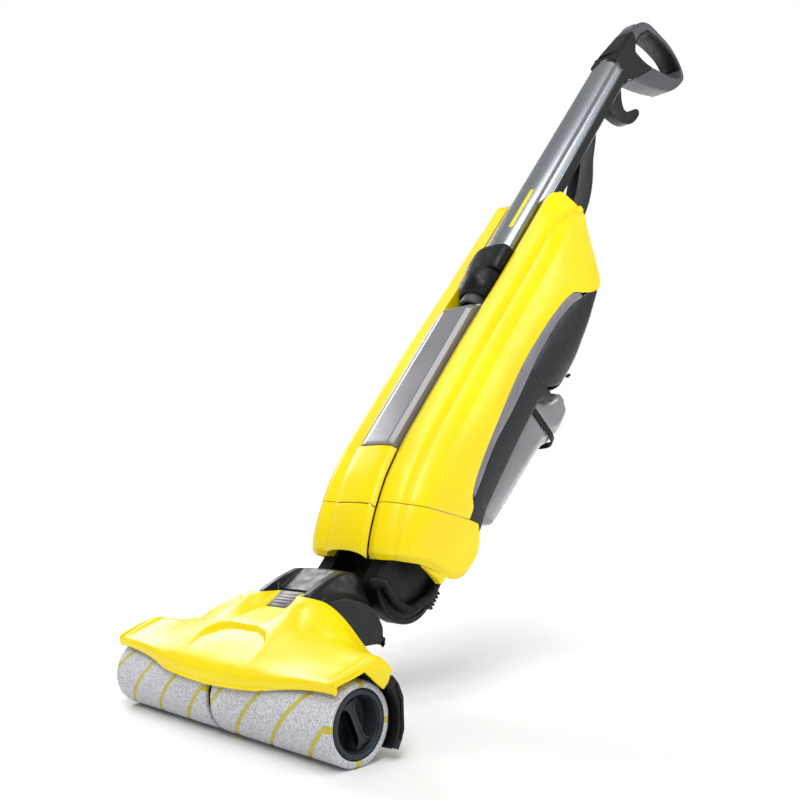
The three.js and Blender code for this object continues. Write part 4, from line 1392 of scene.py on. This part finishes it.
@dataclass
class Grip(Assembly):
    """Closed loop grip: black neck and inner wall, grey cover and the power switch."""

    front: Outline = ((-82, 812), (-81.4, 852), (-78, 886), (-76, 904.6))
    over: Outline = ((-75.6, 905.4), (-70, 940), (-57, 962), (-28, 981), (8, 999), (37, 1004), (57, 1000),
                     (64, 990), (61, 970), (50, 938), (34, 914), (5, 879), (-17, 856), (-29.4, 842))
    bed: Outline = ((45, 996.4), (21, 994), (-8, 981.4), (-32, 965.6), (-52.8, 948.2), (-61.2, 921),
                    (-62, 900.4))
    top_wall: Outline = ((44.6, 992), (22, 989.5), (-6, 977), (-30, 961), (-49, 945), (-57, 920), (-58, 899),
                         (-54, 889))
    low_wall: Outline = ((-50, 886), (-28, 897), (-5.6, 914))
    pad_wall: Outline = ((-4.8, 914.6), (23, 941), (38, 956), (54, 984), (50, 991), (45.6, 992))

    @staticmethod
    def curve(points: Outline) -> list[Point2]:
        """Smooth run of points through the given ones.

        Args:
            points: corners in order.

        Returns:
            Six points for each span.
        """
        run = path2(points)
        count = 6 * (len(points) - 1)
        return [run(i / count) for i in range(count + 1)]

    def rounded(self, outline: Outline, edge: Outline, half: float,
                round_mm: float) -> Mesh:
        """A prism of the outline with its long edges rounded where it follows the edge points.

        Args:
            outline: corners (y, z).
            edge: the points whose long edges are rounded.
            half: half width along x.
            round_mm: rounding.

        Returns:
            The solid.
        """
        bm = prism(outline, -half, half)
        kept = {(round(y, 3), round(z, 3)) for y, z in edge}

        def on_edge(vert: bmesh.types.BMVert) -> bool:
            """Whether a vertex stands on one of the edge points."""
            return (round(vert.co.y, 3), round(vert.co.z, 3)) in kept

        edges = [e for e in bm.edges if all(on_edge(v) for v in e.verts)
                 and abs(e.verts[0].co.x - e.verts[1].co.x) < 1e-3]
        bmesh.ops.bevel(bm, geom=edges, offset=round_mm, offset_type="OFFSET", segments=6, profile=0.5,
                        affect="EDGES", material=-1)
        return bm

    def build(self) -> None:
        """Makes the neck with its inner wall, the cover and the switch."""
        front, over = self.curve(self.front), self.curve(self.over)
        core = front + list(reversed(self.bed)) + self.curve(self.top_wall) + self.curve(self.low_wall)
        core += [(-30.4, 841.4), (-40, 826), (-40, 812)]
        neck = self.rounded(core, front, 15, 3.4)
        for vert in neck.verts:
            vert.co.x *= 1 + 0.42 * smoothstep(868, 818, vert.co.z) * smoothstep(-30, -50, vert.co.y)
        self.piece("grip_neck", neck, Slot.BLACK, ["grip_core"], bevel=0.4)
        cover = over + self.curve(self.pad_wall) + list(self.bed)
        self.piece("grip_shell", self.rounded(cover, over, 15.6, 4.2), Slot.DARK, ["grip_cover"], bevel=0.4)
        switch = [(-77, 916.6), (-64, 916.6), (-64, 935.4), (-73.4, 935.4), (-75.6, 926)]
        self.piece("switch", prism(switch, -7.6, 7.6), Slot.GREY, ["power_button"], bevel=0.9, segments=3,
                   body="power_switch")


# Carried-over frame nodes, stage and camera
CARRIED = {
    Slot.STEEL: ["drive_shaft", "motor_pulley", "roller_motor", "tilt_pin", "suction_motor"],
    Slot.RUBBER: ["drive_belt", "scraper_strip", "dirty_tank_bung"],
    Slot.DARK: ["suction_fan", "water_pump", "inner_tube"],
    Slot.GREY: ["tank_float"],
    Slot.CAP: ["roller_core_left", "roller_core_right"],
    Slot.CIRCUIT: ["circuit_board"],
}


def dress_carried_nodes() -> None:
    """Gives every CAD node that still shows its slot's procedural material."""
    slots = {node: slot for slot, nodes in CARRIED.items() for node in nodes}
    for name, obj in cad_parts.items():
        material = PALETTE.get(slots.get(name, Slot.BLACK))
        obj.data.materials.clear()
        obj.data.materials.append(material)


@dataclass(frozen=True)
class Lamp:
    """A soft rectangular light aimed at the machine."""

    name: str
    at: tuple[float, float, float]
    size: float
    watts: float


LAMPS = (
    Lamp("key", (1.7, -2.2, 2.6), 1.3, 50),
    Lamp("left_panel", (-2.3, 0.1, 1.7), 1.1, 36),
    Lamp("top", (0.4, -0.9, 3.2), 1.4, 34),
    Lamp("rear_rim", (2.2, 1.6, 1.5), 1.2, 22),
    Lamp("back_fill", (-1.2, 2.6, 1.4), 1.6, 20),
)
AIM = (0, 0, 0.35)
FLOOR_GLOW_M = (0.5, 2.2)       # the pale floor turns to plain white between these distances
FLOOR_HALF_M = 14
AMBIENT = 0.3      # light from the surroundings; the camera itself sees them white


def light_studio() -> None:
    """White surroundings, soft lamps and a pale floor."""
    bpy.context.scene.view_settings.view_transform = "Standard"
    world = bpy.data.worlds.new("studio")
    bpy.context.scene.world = world
    world.use_nodes = True
    backdrop = world.node_tree.nodes["Background"]
    backdrop.inputs["Color"].default_value = linear("FFFFFF")
    seen = world.node_tree.nodes.new("ShaderNodeLightPath").outputs["Is Camera Ray"]
    strength = world.node_tree.nodes.new("ShaderNodeMapRange")
    strength.inputs["To Min"].default_value, strength.inputs["To Max"].default_value = AMBIENT, 1.0
    world.node_tree.links.new(seen, strength.inputs["Value"])
    world.node_tree.links.new(strength.outputs["Result"], backdrop.inputs["Strength"])
    target = Vector(AIM)
    for lamp in LAMPS:
        data = bpy.data.lights.new(lamp.name, "AREA")
        data.energy, data.size, data.shape = lamp.watts, lamp.size, "SQUARE"
        obj = in_scene(lamp.name, data)
        obj.location = lamp.at
        obj.rotation_mode = "QUATERNION"
        obj.rotation_quaternion = (target - obj.location).to_track_quat("-Z", "Y")
    bm = bmesh.new()
    bmesh.ops.create_grid(bm, x_segments=2, y_segments=2, size=FLOOR_HALF_M)
    mesh = bpy.data.meshes.new("floor")
    bm.to_mesh(mesh)
    bm.free()
    floor = in_scene("floor", mesh)
    shader = Shader("floor_pale")
    coords = shader.add("TexCoord").outputs["Object"]
    tone = shader.mix(shader.speckle(coords, 400), linear("FBFBFC"), linear("F7F7F8"))
    distance = shader.add("VectorMath", {0: coords}, operation="LENGTH").outputs["Value"]
    glow = shader.remap(distance, 0.0, 1.0, *FLOOR_GLOW_M)
    shader.set(Base_Color=tone, Roughness=0.8, Emission_Color=linear("FFFFFF"), Emission_Strength=glow,
               Specular_IOR_Level=0.1)
    mesh.materials.append(shader.material)


CAMERA_AZIMUTH, CAMERA_ELEVATION = 44.106, -6.299       # degrees
CAMERA_AT = (0.62068, -0.848515, 0.19383)
LENS_MM, SENSOR_MM = 39.18, 36


def set_camera() -> None:
    """Camera low at the right front, looking slightly up at the machine."""
    azimuth, elevation = math.radians(CAMERA_AZIMUTH), math.radians(CAMERA_ELEVATION)
    back = Vector((math.sin(azimuth) * math.cos(elevation), -math.cos(azimuth) * math.cos(elevation),
                   math.sin(elevation)))
    data = bpy.data.cameras.new("camera")
    data.lens, data.sensor_width = LENS_MM, SENSOR_MM
    camera = in_scene("camera", data)
    camera.location = CAMERA_AT
    camera.rotation_mode = "QUATERNION"
    camera.rotation_quaternion = (-back).to_track_quat("-Z", "Y")
    bpy.context.scene.camera = camera


def main() -> None:
    """Builds the whole machine and its studio."""
    logging.basicConfig(level=logging.INFO, format="%(message)s")
    set_camera()
    for part in (Rollers(), Hood(), HeadDetails(), BodyShells(), Tanks(), RearCasing(), JointArea(), Handle(),
                 Grip()):
        part.build()
        log.info("built %s", type(part).__name__)
    dress_carried_nodes()
    light_studio()


if __name__ == "__main__":
    main()
